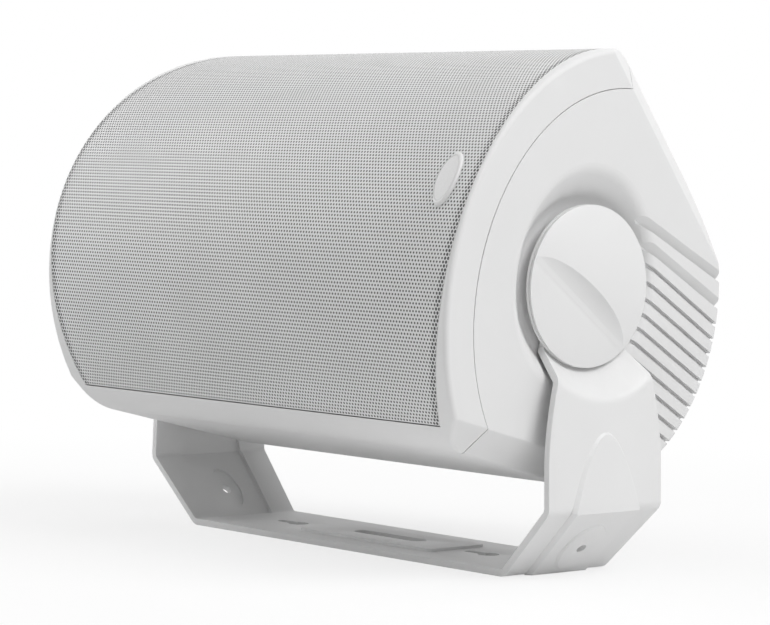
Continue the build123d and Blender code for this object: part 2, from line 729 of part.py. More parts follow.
def louvre(groove_v, fan_deg, flank):
    """Wide groove whose outer side slopes in to a steep inner side."""
    middle = rib_plane.location * Location((0, flank * groove_v, 0), (0, 0, flank * fan_deg))
    along = Plane(middle * Location((-RIB_TURN_U, 0, 0)))
    half = flank * WIDE_GROOVE / 2
    with BuildPart() as cut:
        with BuildSketch(Plane(origin=along.origin, x_dir=along.y_dir, z_dir=along.x_dir)):
            Polygon(
                (half, 0),
                (half, EDGE_ROUND),
                (-half, EDGE_ROUND),
                (-half, -WIDE_DEPTH),
                (-half / 2, -WIDE_DEPTH),
                align=None,
            )
        extrude(amount=RIB_START_U + groove_length)
    return cut.part


with BuildPart() as groove_cut:
    with BuildSketch(rib_plane.offset(EDGE_ROUND)):
        with Locations((RIB_START_U - RIB_TURN_U + groove_length / 2, 0)):
            with GridLocations(groove_length, RIB_PITCH, 1, RIB_COUNT):
                Rectangle(groove_length, RIB_GROOVE)
    extrude(amount=-RIB_DEPTH - EDGE_ROUND)
    for flank in (1, -1):
        add(louvre(WIDE_INNER_V, WIDE_INNER_FAN_DEG, flank))
        add(louvre(WIDE_OUTER_V, WIDE_OUTER_FAN_DEG, flank))

# Bosses for the baffle screws, tied to the flanks by gussets
with BuildPart() as baffle_bosses:
    with BuildSketch(baffle_plane(panel_back_u + MATING_CLEARANCE)):
        with Locations(*baffle_screw_places):
            Circle(BAFFLE_BOSS_RADIUS)
    extrude(amount=-BAFFLE_BOSS_LENGTH)
    gusset_u = SEAM_U + SEAM_GAP + MATING_CLEARANCE
    with BuildSketch(baffle_plane(gusset_u)):
        for x, v in baffle_screw_places:
            reach = shoulder_half_height - abs(v)
            with Locations((x, v + reach / 2 if v > 0 else v - reach / 2)):
                Rectangle(GUSSET_WIDTH, reach)
    extrude(amount=-GUSSET_LENGTH)
    add(enclosure(WALL / 2, END_WALL / 2), mode=Mode.INTERSECT)

# Rear cabinet
with BuildPart() as pocket_block:
    with BuildSketch(rear_plane(POCKET_FLOOR_U - POCKET_WALL)):
        RectangleRounded(POCKET_LENGTH + 2 * POCKET_WALL, POCKET_HEIGHT + 2 * POCKET_WALL, POCKET_CORNER)
    extrude(amount=nose_u - POCKET_FLOOR_U)
    with BuildSketch(rear_plane(BOARD_FRONT_U + BOARD_THICKNESS)):
        with GridLocations(2 * BOARD_HOLE_X, 2 * BOARD_HOLE_V, 2, 2):
            Circle(STANDOFF_RADIUS)
    extrude(amount=POCKET_FLOOR_U - BOARD_FRONT_U)
    add(outer, mode=Mode.INTERSECT)
with BuildPart() as rear_cabinet:
    add(outer)
    add(ahead_of_seam(SEAM_GAP), mode=Mode.SUBTRACT)
    add(inner, mode=Mode.SUBTRACT)
    add(baffle_bosses.part)
    add(pocket_block.part)
    for shell in (dish_shell.part, mirror(dish_shell.part, about=Plane.YZ, mode=Mode.PRIVATE)):
        add(shell)
    for cut in (dish_cut.part, mirror(dish_cut.part, about=Plane.YZ, mode=Mode.PRIVATE)):
        add(cut, mode=Mode.SUBTRACT)
    for side in (1, -1):
        flat_faces = rear_cabinet.faces().filter_by(GeomType.PLANE)
        end_face = flat_faces.sort_by(Axis(PIVOT, end_plane(side).z_dir))[-1]
        fillet(end_face.inner_wires().edges(), radius=DISH_RIM)
    for cut in (groove_cut.part, mirror(groove_cut.part, about=Plane.YZ, mode=Mode.PRIVATE)):
        add(cut, mode=Mode.SUBTRACT)
    for side in (1, -1):
        with BuildSketch(section_plane(side * (DISH_FLOOR_X - DISH_WALL / 2))):
            Circle(SPIGOT_RADIUS)
        extrude(amount=side * (spigot_x - DISH_FLOOR_X + DISH_WALL / 2))
        with BuildSketch(section_plane(side * insert_inner_x)):
            Circle(SPIGOT_BORE_RADIUS)
        extrude(amount=side * (spigot_x - insert_inner_x), mode=Mode.SUBTRACT)
    with BuildSketch(rear_plane(POCKET_FLOOR_U)):
        RectangleRounded(POCKET_LENGTH, POCKET_HEIGHT, POCKET_CORNER)
    extrude(amount=TOOL_REACH, mode=Mode.SUBTRACT)
    with BuildSketch(rear_plane(POCKET_FLOOR_U)):
        RectangleRounded(PORTAL_LENGTH, PORTAL_HEIGHT, POCKET_CORNER / 2)
        with GridLocations(PLATE_LENGTH - 2 * PLATE_MARGIN, PLATE_HEIGHT - 2 * PLATE_MARGIN, 2, 2):
            Circle(SCREW_RADIUS + SCREW_CLEARANCE)
    extrude(amount=-2 * POCKET_WALL, mode=Mode.SUBTRACT)
    with BuildSketch(rear_plane(BOARD_FRONT_U + BOARD_THICKNESS)):
        with GridLocations(2 * BOARD_HOLE_X, 2 * BOARD_HOLE_V, 2, 2):
            Circle(SCREW_RADIUS + SCREW_CLEARANCE)
    extrude(amount=SCREW_LENGTH, mode=Mode.SUBTRACT)
    with BuildSketch(baffle_plane(panel_back_u)):
        with Locations(*baffle_screw_places):
            Circle(SCREW_RADIUS + SCREW_CLEARANCE)
    extrude(amount=-2 * SCREW_LENGTH, mode=Mode.SUBTRACT)
rear_cabinet.part.label = "rear_cabinet"
export_step(rear_cabinet.part, "parts/rear_cabinet.step")

# Gasket in the seam, set back so that the seam shows as a fine groove
with BuildPart() as cabinet_gasket:
    add(enclosure(SEAM_GROOVE_DEPTH, SEAM_GROOVE_DEPTH))
    add(ahead_of_seam(SEAM_GAP - GASKET_CLEARANCE), mode=Mode.INTERSECT)
    add(ahead_of_seam(GASKET_CLEARANCE), mode=Mode.SUBTRACT)
    add(inner, mode=Mode.SUBTRACT)
cabinet_gasket.part.label = "cabinet_gasket"
export_step(cabinet_gasket.part, "parts/cabinet_gasket.step")

with BuildPart() as baffle_screws:
    for x, v in baffle_screw_places:
        add(screw(Plane(origin=at(panel_front_u, v, x), x_dir=ALONG, z_dir=BACK * -1), 2 * SCREW_LENGTH))
baffle_screws.part.label = "baffle_screws"
export_step(baffle_screws.part, "parts/baffle_screws.step")

# Grille: curved sheet with its edge turned in all round
with BuildPart() as grille:
    add(grille_band(grille_inner_radius, FRONT_RADIUS, grille_half_height, 0))
    add(hem_frame(hem_radius, FRONT_RADIUS, GRILLE_SHEET, 0))
grille.part.label = "grille"
export_step(grille.part, "parts/grille.step")

scrim_half_height = grille_half_height - SCRIM_MARGIN
scrim_radius = grille_inner_radius - SCRIM_GAP
with BuildPart() as grille_scrim:
    add(grille_band(scrim_radius - SCRIM_THICKNESS, scrim_radius, scrim_half_height, -SCRIM_MARGIN))
grille_scrim.part.label = "grille_scrim"
export_step(grille_scrim.part, "parts/grille_scrim.step")

# Bare oval plate on the grille
with BuildPart() as badge_plate:
    with BuildSketch(baffle_plane(panel_front_u)):
        with Locations((BADGE_X, BADGE_V)):
            Ellipse(BADGE_WIDTH / 2, BADGE_LENGTH / 2)
    extrude(amount=FRONT_RADIUS)
    with BuildSketch(section_plane()):
        with Locations((FRONT_CENTER_U, 0)):
            Circle(FRONT_RADIUS + BADGE_THICKNESS)
            Circle(FRONT_RADIUS + BADGE_SEAT, mode=Mode.SUBTRACT)
    extrude(amount=TOOL_REACH, mode=Mode.INTERSECT)
    fillet(badge_plate.faces().sort_by(Axis(PIVOT, BACK))[0].edges(), radius=BADGE_EDGE)
badge_plate.part.label = "badge_plate"
export_step(badge_plate.part, "parts/badge_plate.step")

# Knobs, studs, inserts and washers, one set at each end
crown_x = knob_face_x + KNOB_CROWN
crown_rim = KNOB_RADIUS - KNOB_EDGE
crown_radius = (crown_rim**2 + KNOB_CROWN**2) / (2 * KNOB_CROWN)
crown_half = atan2(crown_rim, crown_radius - KNOB_CROWN) / 2
crown_middle = (crown_x - crown_radius * (1 - cos(crown_half)), crown_radius * sin(crown_half))
groove_front_x = knob_face_x - KNOB_GROOVE_SETBACK
scoop_disc_radius = (SCOOP_HALF_CHORD**2 + SCOOP_FLOOR**2) / (2 * SCOOP_FLOOR)
scoop_turn = radians(SCOOP_TURN_DEG)
scoop_slope = radians(SCOOP_FLOOR_DEG)


def scoop_solid(face):
    """Tilted disc with a rounded rim, which dips into the knob's face to cut a half-moon."""
    chord_dir = face.x_dir * cos(scoop_turn) + face.y_dir * sin(scoop_turn)
    rise_dir = face.z_dir.cross(chord_dir)
    down_dir = rise_dir * cos(scoop_slope) - face.z_dir * sin(scoop_slope)
    chord_mid = face.origin - rise_dir * SCOOP_CHORD_OFFSET
    center = chord_mid - down_dir * (scoop_disc_radius - SCOOP_FLOOR)
    disc_plane = Plane(origin=center, x_dir=down_dir, z_dir=chord_dir)
    with BuildPart() as disc:
        with BuildSketch(disc_plane):
            with BuildLine():
                foot = Line((0, 0), (scoop_disc_radius, 0))
                rim = TangentArc(foot @ 1, (scoop_disc_radius + SCOOP_ROUND, SCOOP_ROUND), tangent=foot % 1)
                Line(rim @ 1, (0, SCOOP_ROUND))
                Line((0, SCOOP_ROUND), (0, 0))
            make_face()
        revolve(axis=Axis(center, disc_plane.y_dir))
    return disc.part


def knob_solid(side):
    """Clamp knob with a crowned face, a shadow groove round its edge and a hub behind."""
    profile_plane = Plane(origin=PIVOT, x_dir=ALONG * side, z_dir=(0, -side, 0))
    face = Plane(origin=PIVOT + ALONG * side * knob_face_x, x_dir=(0, side, 0), z_dir=ALONG * side)
    hub_radius = SPIGOT_BORE_RADIUS - HUB_CLEARANCE
    seat_x = hub_end_x + STUD_SEAT
    with BuildPart() as knob:
        with BuildSketch(profile_plane):
            with BuildLine():
                Polyline(
                    (crown_x, 0),
                    (seat_x, 0),
                    (seat_x, STUD_RADIUS + STUD_CLEARANCE),
                    (hub_end_x, STUD_RADIUS + STUD_CLEARANCE),
                    (hub_end_x, hub_radius),
                    (knob_back_x, hub_radius),
                    (knob_back_x, KNOB_RADIUS),
                    (groove_front_x - KNOB_GROOVE, KNOB_RADIUS),
                    (groove_front_x - KNOB_GROOVE / 2, KNOB_RADIUS - KNOB_GROOVE_DEPTH),
                    (groove_front_x, KNOB_RADIUS),
                    (knob_face_x - KNOB_EDGE, KNOB_RADIUS),
                )
                edge = TangentArc(
                    (knob_face_x - KNOB_EDGE, KNOB_RADIUS),
                    (knob_face_x, KNOB_RADIUS - KNOB_EDGE),
                    tangent=(1, 0),
                )
                ThreePointArc(edge @ 1, crown_middle, (crown_x, 0))
            make_face()
        revolve(axis=PIVOT_AXIS)
        add(scoop_solid(face), mode=Mode.SUBTRACT)
    return knob.part


stud_outer_x = hub_end_x + STUD_SEAT - STUD_CLEARANCE
for side, hand in ((1, "right"), (-1, "left")):
    with BuildPart() as clamp_knob:
        add(knob_solid(side))
    clamp_knob.part.label = "knob_" + hand
    export_step(clamp_knob.part, "parts/knob_" + hand + ".step")
    with BuildPart() as knob_stud:
        with BuildSketch(section_plane(side * (insert_inner_x + BODY_GAP))):
            Circle(STUD_RADIUS)
        extrude(amount=side * (stud_outer_x - insert_inner_x - BODY_GAP))
        chamfer(knob_stud.edges().filter_by(GeomType.CIRCLE), length=STUD_RADIUS / 6)
    knob_stud.part.label = "knob_stud_" + hand
    export_step(knob_stud.part, "parts/knob_stud_" + hand + ".step")
    with BuildPart() as pivot_insert:
        with BuildSketch(section_plane(side * insert_inner_x)):
            Circle(SPIGOT_BORE_RADIUS - INSERT_CLEARANCE)
            Circle(STUD_RADIUS + STUD_CLEARANCE, mode=Mode.SUBTRACT)
        extrude(amount=side * INSERT_LENGTH)
    pivot_insert.part.label = "pivot_insert_" + hand
    export_step(pivot_insert.part, "parts/pivot_insert_" + hand + ".step")
    with BuildPart() as friction_washer:
        with BuildSketch(section_plane(side * DISH_FLOOR_X)):
            Circle(WASHER_RADIUS)
            Circle(SPIGOT_RADIUS + BODY_GAP, mode=Mode.SUBTRACT)
        extrude(amount=side * WASHER_THICKNESS)
    friction_washer.part.label = "friction_washer_" + hand
    export_step(friction_washer.part, "parts/friction_washer_" + hand + ".step")

# Woofer, measured forwards from the baffle panel on its own axis
woofer_plane = spin_plane(WOOFER_X, panel_front_u)
woofer_axis = spin_axis(WOOFER_X, panel_front_u)
flange_front = DRIVER_GASKET + FLANGE_THICKNESS
basket_neck_radius = woofer_cutout_radius - BASKET_WALL / 2
landing_front = -LANDING_DEPTH
basket_floor = -BASKET_DEPTH
top_plate_back = basket_floor - TOP_PLATE
magnet_back = top_plate_back - MAGNET_THICKNESS
cone_edge = DRIVER_GASKET + FLANGE_THICKNESS / 2
neck_depth = cone_edge - CONE_DEPTH

with BuildPart() as woofer_basket:
    with BuildSketch(woofer_plane):
        Polygon(
            (flange_inner_radius, DRIVER_GASKET),
            (woofer_radius, DRIVER_GASKET),
            (woofer_radius, flange_front),
            (flange_inner_radius, flange_front),
            align=None,
        )
        Polygon(
            (basket_neck_radius - BASKET_WALL, DRIVER_GASKET),
            (basket_neck_radius, DRIVER_GASKET),
            (BASKET_FLOOR_RADIUS, basket_floor),
            (BASKET_FLOOR_RADIUS - BASKET_WALL, basket_floor),
            align=None,
        )
        Polygon(
            (GAP_RADIUS, basket_floor),
            (BASKET_FLOOR_RADIUS, basket_floor),
            (BASKET_FLOOR_RADIUS, basket_floor + BASKET_WALL),
            (GAP_RADIUS, basket_floor + BASKET_WALL),
            align=None,
        )
        Polygon(
            (LANDING_RADIUS, basket_floor),
            (LANDING_RADIUS + LANDING_WIDTH, basket_floor),
            (LANDING_RADIUS + LANDING_WIDTH, landing_front),
            (LANDING_RADIUS, landing_front),
            align=None,
        )
    revolve(axis=woofer_axis)
    with BuildSketch(woofer_plane):
        Polygon(
            (LANDING_RADIUS + LANDING_WIDTH + BASKET_WALL, landing_front),
            (woofer_radius, landing_front),
            (woofer_radius, -PANEL_THICKNESS),
            (LANDING_RADIUS + LANDING_WIDTH + BASKET_WALL, -PANEL_THICKNESS),
            align=None,
        )
    opening = revolve(axis=woofer_axis, revolution_arc=BASKET_WINDOW_DEG, mode=Mode.PRIVATE)
    for leg in range(BASKET_LEG_COUNT):
        add(opening.rotate(woofer_axis, leg * 360 / BASKET_LEG_COUNT), mode=Mode.SUBTRACT)
    with BuildSketch(baffle_plane(panel_front_u)):
        with Locations((WOOFER_X, 0)):
            with PolarLocations(woofer_screw_radius, DRIVER_SCREW_COUNT, 180 / DRIVER_SCREW_COUNT):
                Circle(SCREW_RADIUS + SCREW_CLEARANCE)
    extrude(amount=flange_front, mode=Mode.SUBTRACT)
woofer_basket.part.label = "woofer_basket"
export_step(woofer_basket.part, "parts/woofer_basket.step")

with BuildPart() as woofer_gasket:
    with BuildSketch(baffle_plane(panel_front_u)):
        with Locations((WOOFER_X, 0)):
            Circle(woofer_radius)
            Circle(woofer_cutout_radius, mode=Mode.SUBTRACT)
            with PolarLocations(woofer_screw_radius, DRIVER_SCREW_COUNT, 180 / DRIVER_SCREW_COUNT):
                Circle(SCREW_RADIUS + SCREW_CLEARANCE, mode=Mode.SUBTRACT)
    extrude(amount=DRIVER_GASKET)
woofer_gasket.part.label = "woofer_gasket"
export_step(woofer_gasket.part, "parts/woofer_gasket.step")

# Surround: a half roll between the cone's edge and the flange
roll_inner = cone_radius - FLANGE_THICKNESS
roll_outer = flange_inner_radius + FLANGE_THICKNESS
roll_start = cone_radius + ROLL_SHEET
roll_end = flange_inner_radius
roll_mid = (roll_start + roll_end) / 2
roll_height = (roll_end - roll_start) / 2
with BuildPart() as woofer_surround:
    with BuildSketch(woofer_plane):
        with BuildLine():
            Polyline((roll_outer, flange_front), (roll_end, flange_front))
            ThreePointArc(
                (roll_end, flange_front),
                (roll_mid, flange_front + roll_height),
                (roll_start, flange_front),
            )
            Polyline(
                (roll_start, flange_front),
                (roll_inner, flange_front),
                (roll_inner, flange_front + ROLL_SHEET),
                (roll_start - ROLL_SHEET, flange_front + ROLL_SHEET),
            )
            ThreePointArc(
                (roll_start - ROLL_SHEET, flange_front + ROLL_SHEET),
                (roll_mid, flange_front + roll_height + ROLL_SHEET),
                (roll_end + ROLL_SHEET, flange_front + ROLL_SHEET),
            )
            Polyline(
                (roll_end + ROLL_SHEET, flange_front + ROLL_SHEET),
                (roll_outer, flange_front + ROLL_SHEET),
                (roll_outer, flange_front),
            )
        make_face()
    revolve(axis=woofer_axis)
woofer_surround.part.label = "woofer_surround"
export_step(woofer_surround.part, "parts/woofer_surround.step")

cone_top = flange_front - MATING_CLEARANCE / 6
with BuildPart() as woofer_cone:
    with BuildSketch(woofer_plane):
        Polygon(
            (CONE_NECK_RADIUS, neck_depth),
            (cone_radius - ROLL_SHEET, cone_top - CONE_SHEET),
            (cone_radius, cone_top - CONE_SHEET),
            (cone_radius, cone_top),
            (cone_radius - 2 * ROLL_SHEET, cone_top),
            (CONE_NECK_RADIUS, neck_depth + 2 * CONE_SHEET),
            align=None,
        )
    revolve(axis=woofer_axis)
woofer_cone.part.label = "woofer_cone"
export_step(woofer_cone.part, "parts/woofer_cone.step")


def dome_arc(radius, base, rise):
    """Half of a shallow dome's section, from its rim to the axis."""
    sphere = (radius**2 + rise**2) / (2 * rise)
    half = atan2(radius, sphere - rise) / 2
    middle = (sphere * sin(half), base + rise - sphere + sphere * cos(half))
    return ThreePointArc((radius, base), middle, (0, base + rise))


# Dust cap: a shallow dome seated on the cone
cone_slope = (cone_top - neck_depth - 2 * CONE_SHEET) / (cone_radius - 2 * ROLL_SHEET - CONE_NECK_RADIUS)
cap_seat = neck_depth + 2 * CONE_SHEET + (CAP_RADIUS - CONE_NECK_RADIUS) * cone_slope + MATING_CLEARANCE / 6
with BuildPart() as woofer_dust_cap:
    with BuildSketch(woofer_plane):
        with BuildLine():
            outer_curve = dome_arc(CAP_RADIUS, cap_seat, CAP_RISE)
            inner_curve = dome_arc(CAP_RADIUS - 2 * CONE_SHEET, cap_seat, CAP_RISE - CONE_SHEET)
            Line(outer_curve @ 1, inner_curve @ 1)
            Line(outer_curve @ 0, inner_curve @ 0)
        make_face()
    revolve(axis=woofer_axis)
woofer_dust_cap.part.label = "woofer_dust_cap"
export_step(woofer_dust_cap.part, "parts/woofer_dust_cap.step")

# Voice coil on its former, glued in the cone's neck
coil_outer_radius = COIL_INNER_RADIUS + COIL_WALL
coil_front = neck_depth + CONE_SHEET
with BuildPart() as voice_coil:
    with BuildSketch(woofer_plane):
        Polygon(
            (COIL_INNER_RADIUS, coil_front - COIL_LENGTH),
            (coil_outer_radius, coil_front - COIL_LENGTH),
            (coil_outer_radius, coil_front - MATING_CLEARANCE),
            (CONE_NECK_RADIUS, coil_front - MATING_CLEARANCE),
            (CONE_NECK_RADIUS, coil_front),
            (COIL_INNER_RADIUS, coil_front),
            align=None,
        )
    revolve(axis=woofer_axis)
voice_coil.part.label = "voice_coil"
export_step(voice_coil.part, "parts/voice_coil.step")

# Spider: a corrugated disc between the coil former and the basket's landing
spider_inner = coil_outer_radius + MATING_CLEARANCE / 6
spider_outer = LANDING_RADIUS + LANDING_WIDTH
wave_width = (LANDING_RADIUS - spider_inner) / (2 * SPIDER_WAVE_COUNT)
spider_level = landing_front + MATING_CLEARANCE / 6
with BuildPart() as woofer_spider:
    with BuildSketch(woofer_plane):
        with BuildLine():
            lower = []
            for wave in range(2 * SPIDER_WAVE_COUNT + 1):
                rise = spider_level + (wave_width / 2 if wave % 2 else 0)
                lower.append((spider_inner + wave * wave_width, rise))
            lower.append((spider_outer, spider_level))
            upper = [(r, z + SPIDER_SHEET) for r, z in reversed(lower)]
            Polyline(*lower, *upper, close=True)
        make_face()
    revolve(axis=woofer_axis)
woofer_spider.part.label = "woofer_spider"
export_step(woofer_spider.part, "parts/woofer_spider.step")

with BuildPart() as woofer_top_plate:
    with BuildSketch(baffle_plane(panel_front_u - basket_floor)):
        with Locations((WOOFER_X, 0)):
            Circle(BASKET_FLOOR_RADIUS)
            Circle(GAP_RADIUS, mode=Mode.SUBTRACT)
    extrude(amount=-TOP_PLATE)
woofer_top_plate.part.label = "woofer_top_plate"
export_step(woofer_top_plate.part, "parts/woofer_top_plate.step")

with BuildPart() as woofer_magnet:
    with BuildSketch(baffle_plane(panel_front_u - top_plate_back)):
        with Locations((WOOFER_X, 0)):
            Circle(MAGNET_RADIUS)
            Circle(MAGNET_HOLE_RADIUS, mode=Mode.SUBTRACT)
    extrude(amount=-MAGNET_THICKNESS)
woofer_magnet.part.label = "woofer_magnet"
export_step(woofer_magnet.part, "parts/woofer_magnet.step")

with BuildPart() as woofer_back_plate:
    with BuildSketch(woofer_plane):
        Polygon(
            (0, magnet_back - BACK_PLATE),
            (BASKET_FLOOR_RADIUS, magnet_back - BACK_PLATE),
            (BASKET_FLOOR_RADIUS, magnet_back),
            (POLE_RADIUS, magnet_back),
            (POLE_RADIUS, basket_floor),
            (0, basket_floor),
            align=None,
        )
    revolve(axis=woofer_axis)
woofer_back_plate.part.label = "woofer_back_plate"
export_step(woofer_back_plate.part, "parts/woofer_back_plate.step")

woofer_face = Plane(origin=at(panel_front_u - flange_front, 0, WOOFER_X), x_dir=ALONG, z_dir=BACK * -1)
with BuildPart() as woofer_screws:
    add(ring_of_screws(woofer_face, woofer_screw_radius, 180 / DRIVER_SCREW_COUNT))
woofer_screws.part.label = "woofer_screws"
export_step(woofer_screws.part, "parts/woofer_screws.step")

# Tweeter, on its own axis
tweeter_plane = spin_plane(TWEETER_X, panel_front_u)
tweeter_axis = spin_axis(TWEETER_X, panel_front_u)
with BuildPart() as tweeter_faceplate:
    with BuildSketch(tweeter_plane):
        Polygon(
            (TWEETER_THROAT_RADIUS, 0),
            (TWEETER_RADIUS, 0),
            (TWEETER_RADIUS, TWEETER_PLATE),
            (TWEETER_MOUTH_RADIUS, TWEETER_PLATE),
            (TWEETER_THROAT_RADIUS, TWEETER_PLATE / 4),
            align=None,
        )
    revolve(axis=tweeter_axis)
    with BuildSketch(baffle_plane(panel_front_u)):
        with Locations((TWEETER_X, 0)):
            with PolarLocations(TWEETER_SCREW_RADIUS, DRIVER_SCREW_COUNT, 180 / DRIVER_SCREW_COUNT):
                Circle(SCREW_RADIUS + SCREW_CLEARANCE)
    extrude(amount=TWEETER_PLATE, mode=Mode.SUBTRACT)
tweeter_faceplate.part.label = "tweeter_faceplate"
export_step(tweeter_faceplate.part, "parts/tweeter_faceplate.step")

# Dome with its rim clamped behind the faceplate, and the sealed motor can behind it
rim_back = -DOME_SHEET - MATING_CLEARANCE / 6
with BuildPart() as tweeter_dome:
    with BuildSketch(tweeter_plane):
        with BuildLine():
            dome_outer = dome_arc(DOME_RADIUS, rim_back + DOME_SHEET, DOME_RISE)
            dome_inner = dome_arc(DOME_RADIUS - DOME_SHEET, rim_back, DOME_RISE)
            Line(dome_outer @ 1, dome_inner @ 1)
            Polyline(
                dome_outer @ 0,
                (TWEETER_MOUTH_RADIUS, rim_back + DOME_SHEET),
                (TWEETER_MOUTH_RADIUS, rim_back),
                dome_inner @ 0,
            )
        make_face()
    revolve(axis=tweeter_axis)
tweeter_dome.part.label = "tweeter_dome"
export_step(tweeter_dome.part, "parts/tweeter_dome.step")

can_front = rim_back - MATING_CLEARANCE / 6
with BuildPart() as tweeter_motor:
    with BuildSketch(tweeter_plane):
        Polygon(
            (0, can_front - TWEETER_CAN_DEPTH),
            (TWEETER_CAN_RADIUS, can_front - TWEETER_CAN_DEPTH),
            (TWEETER_CAN_RADIUS, -MATING_CLEARANCE / 6),
            (TWEETER_MOUTH_RADIUS + MATING_CLEARANCE, -MATING_CLEARANCE / 6),
            (TWEETER_MOUTH_RADIUS + MATING_CLEARANCE, can_front),
            (0, can_front),
            align=None,
        )
    revolve(axis=tweeter_axis)
tweeter_motor.part.label = "tweeter_motor"
export_step(tweeter_motor.part, "parts/tweeter_motor.step")

tweeter_face = Plane(origin=at(panel_front_u - TWEETER_PLATE, 0, TWEETER_X), x_dir=ALONG, z_dir=BACK * -1)
with BuildPart() as tweeter_screws:
    add(ring_of_screws(tweeter_face, TWEETER_SCREW_RADIUS, 180 / DRIVER_SCREW_COUNT))
tweeter_screws.part.label = "tweeter_screws"
export_step(tweeter_screws.part, "parts/tweeter_screws.step")

# Terminal plate and binding posts in the rear pocket
plate_back_u = POCKET_FLOOR_U + PLATE_THICKNESS
with BuildPart() as terminal_plate:
    with BuildSketch(rear_plane(POCKET_FLOOR_U)):
        RectangleRounded(PLATE_LENGTH, PLATE_HEIGHT, POCKET_CORNER / 2)
        with GridLocations(POST_SPACING, 0, 2, 1):
            Circle(POST_STUD_RADIUS + SCREW_CLEARANCE, mode=Mode.SUBTRACT)
        with GridLocations(PLATE_LENGTH - 2 * PLATE_MARGIN, PLATE_HEIGHT - 2 * PLATE_MARGIN, 2, 2):
            Circle(SCREW_RADIUS + SCREW_CLEARANCE, mode=Mode.SUBTRACT)
    extrude(amount=PLATE_THICKNESS)
terminal_plate.part.label = "terminal_plate"
export_step(terminal_plate.part, "parts/terminal_plate.step")

with BuildPart() as terminal_screws:
    plate_face = rear_plane(plate_back_u)
    for place in GridLocations(PLATE_LENGTH - 2 * PLATE_MARGIN, PLATE_HEIGHT - 2 * PLATE_MARGIN, 2, 2):
        add(screw(Plane(plate_face.location * place), PLATE_THICKNESS + POCKET_WALL))
terminal_screws.part.label = "terminal_screws"
export_step(terminal_screws.part, "parts/terminal_screws.step")

cap_seat_u = plate_back_u + POST_BASE_HEIGHT + CAP_NUT_GAP
for post_x, colour in ((-POST_SPACING / 2, "red"), (POST_SPACING / 2, "black")):
    with BuildPart() as binding_post:
        with BuildSketch(rear_plane(plate_back_u)):
            with Locations((-post_x, 0)):
                Circle(POST_BASE_RADIUS)
        extrude(amount=POST_BASE_HEIGHT)
        with BuildSketch(rear_plane(POCKET_FLOOR_U - POST_TAIL_LENGTH)):
            with Locations((-post_x, 0)):
                Circle(POST_STUD_RADIUS)
        extrude(amount=POST_TAIL_LENGTH + PLATE_THICKNESS + POST_STUD_LENGTH)
    binding_post.part.label = "binding_post_" + colour
    export_step(binding_post.part, "parts/binding_post_" + colour + ".step")
    with BuildPart() as post_cap:
        with BuildSketch(rear_plane(cap_seat_u)):
            with Locations((-post_x, 0)):
                RegularPolygon(CAP_NUT_RADIUS, CAP_NUT_SIDE_COUNT)
                Circle(POST_STUD_RADIUS + STUD_CLEARANCE, mode=Mode.SUBTRACT)
        extrude(amount=CAP_NUT_LENGTH)
    post_cap.part.label = "post_cap_" + colour
    export_step(post_cap.part, "parts/post_cap_" + colour + ".step")

# Crossover board on its standoffs, with its parts on the front side
with BuildPart() as crossover_board:
    with BuildSketch(rear_plane(BOARD_FRONT_U)):
        Rectangle(BOARD_LENGTH, BOARD_HEIGHT)
        with GridLocations(2 * BOARD_HOLE_X, 2 * BOARD_HOLE_V, 2, 2):
            Circle(SCREW_RADIUS + SCREW_CLEARANCE, mode=Mode.SUBTRACT)
    extrude(amount=BOARD_THICKNESS)
crossover_board.part.label = "crossover_board"
export_step(crossover_board.part, "parts/crossover_board.step")

with BuildPart() as board_screws:
    board_face = baffle_plane(BOARD_FRONT_U)
    for place in GridLocations(2 * BOARD_HOLE_X, 2 * BOARD_HOLE_V, 2, 2):
        add(screw(Plane(board_face.location * place), SCREW_LENGTH - BOARD_THICKNESS))
board_screws.part.label = "board_screws"
export_step(board_screws.part, "parts/board_screws.step")

with BuildPart() as crossover_coils:
    with BuildSketch(baffle_plane(BOARD_FRONT_U)):
        with GridLocations(2 * COIL_X, 0, 2, 1):
            Circle(COIL_RADIUS)
            Circle(COIL_CORE_RADIUS, mode=Mode.SUBTRACT)
    extrude(amount=COIL_HEIGHT)
crossover_coils.part.label = "crossover_coils"
export_step(crossover_coils.part, "parts/crossover_coils.step")

with BuildPart() as crossover_capacitors:
    for row in (1, -1):
        row_v = row * (CAPACITOR_RADIUS + RESISTOR_SIZE / 2 + PLATE_MARGIN)
        origin = at(BOARD_FRONT_U - CAPACITOR_RADIUS, row_v, -CAPACITOR_LENGTH / 2)
        with BuildSketch(Plane(origin=origin, x_dir=UP, z_dir=ALONG)):
            Circle(CAPACITOR_RADIUS)
        extrude(amount=CAPACITOR_LENGTH)
crossover_capacitors.part.label = "crossover_capacitors"
export_step(crossover_capacitors.part, "parts/crossover_capacitors.step")

with BuildPart() as crossover_resistor:
    with BuildSketch(baffle_plane(BOARD_FRONT_U)):
        Rectangle(RESISTOR_LENGTH, RESISTOR_SIZE)
    extrude(amount=RESISTOR_SIZE)
crossover_resistor.part.label = "crossover_resistor"
export_step(crossover_resistor.part, "parts/crossover_resistor.step")
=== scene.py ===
import json
import math

import bpy
from mathutils import Matrix, Vector


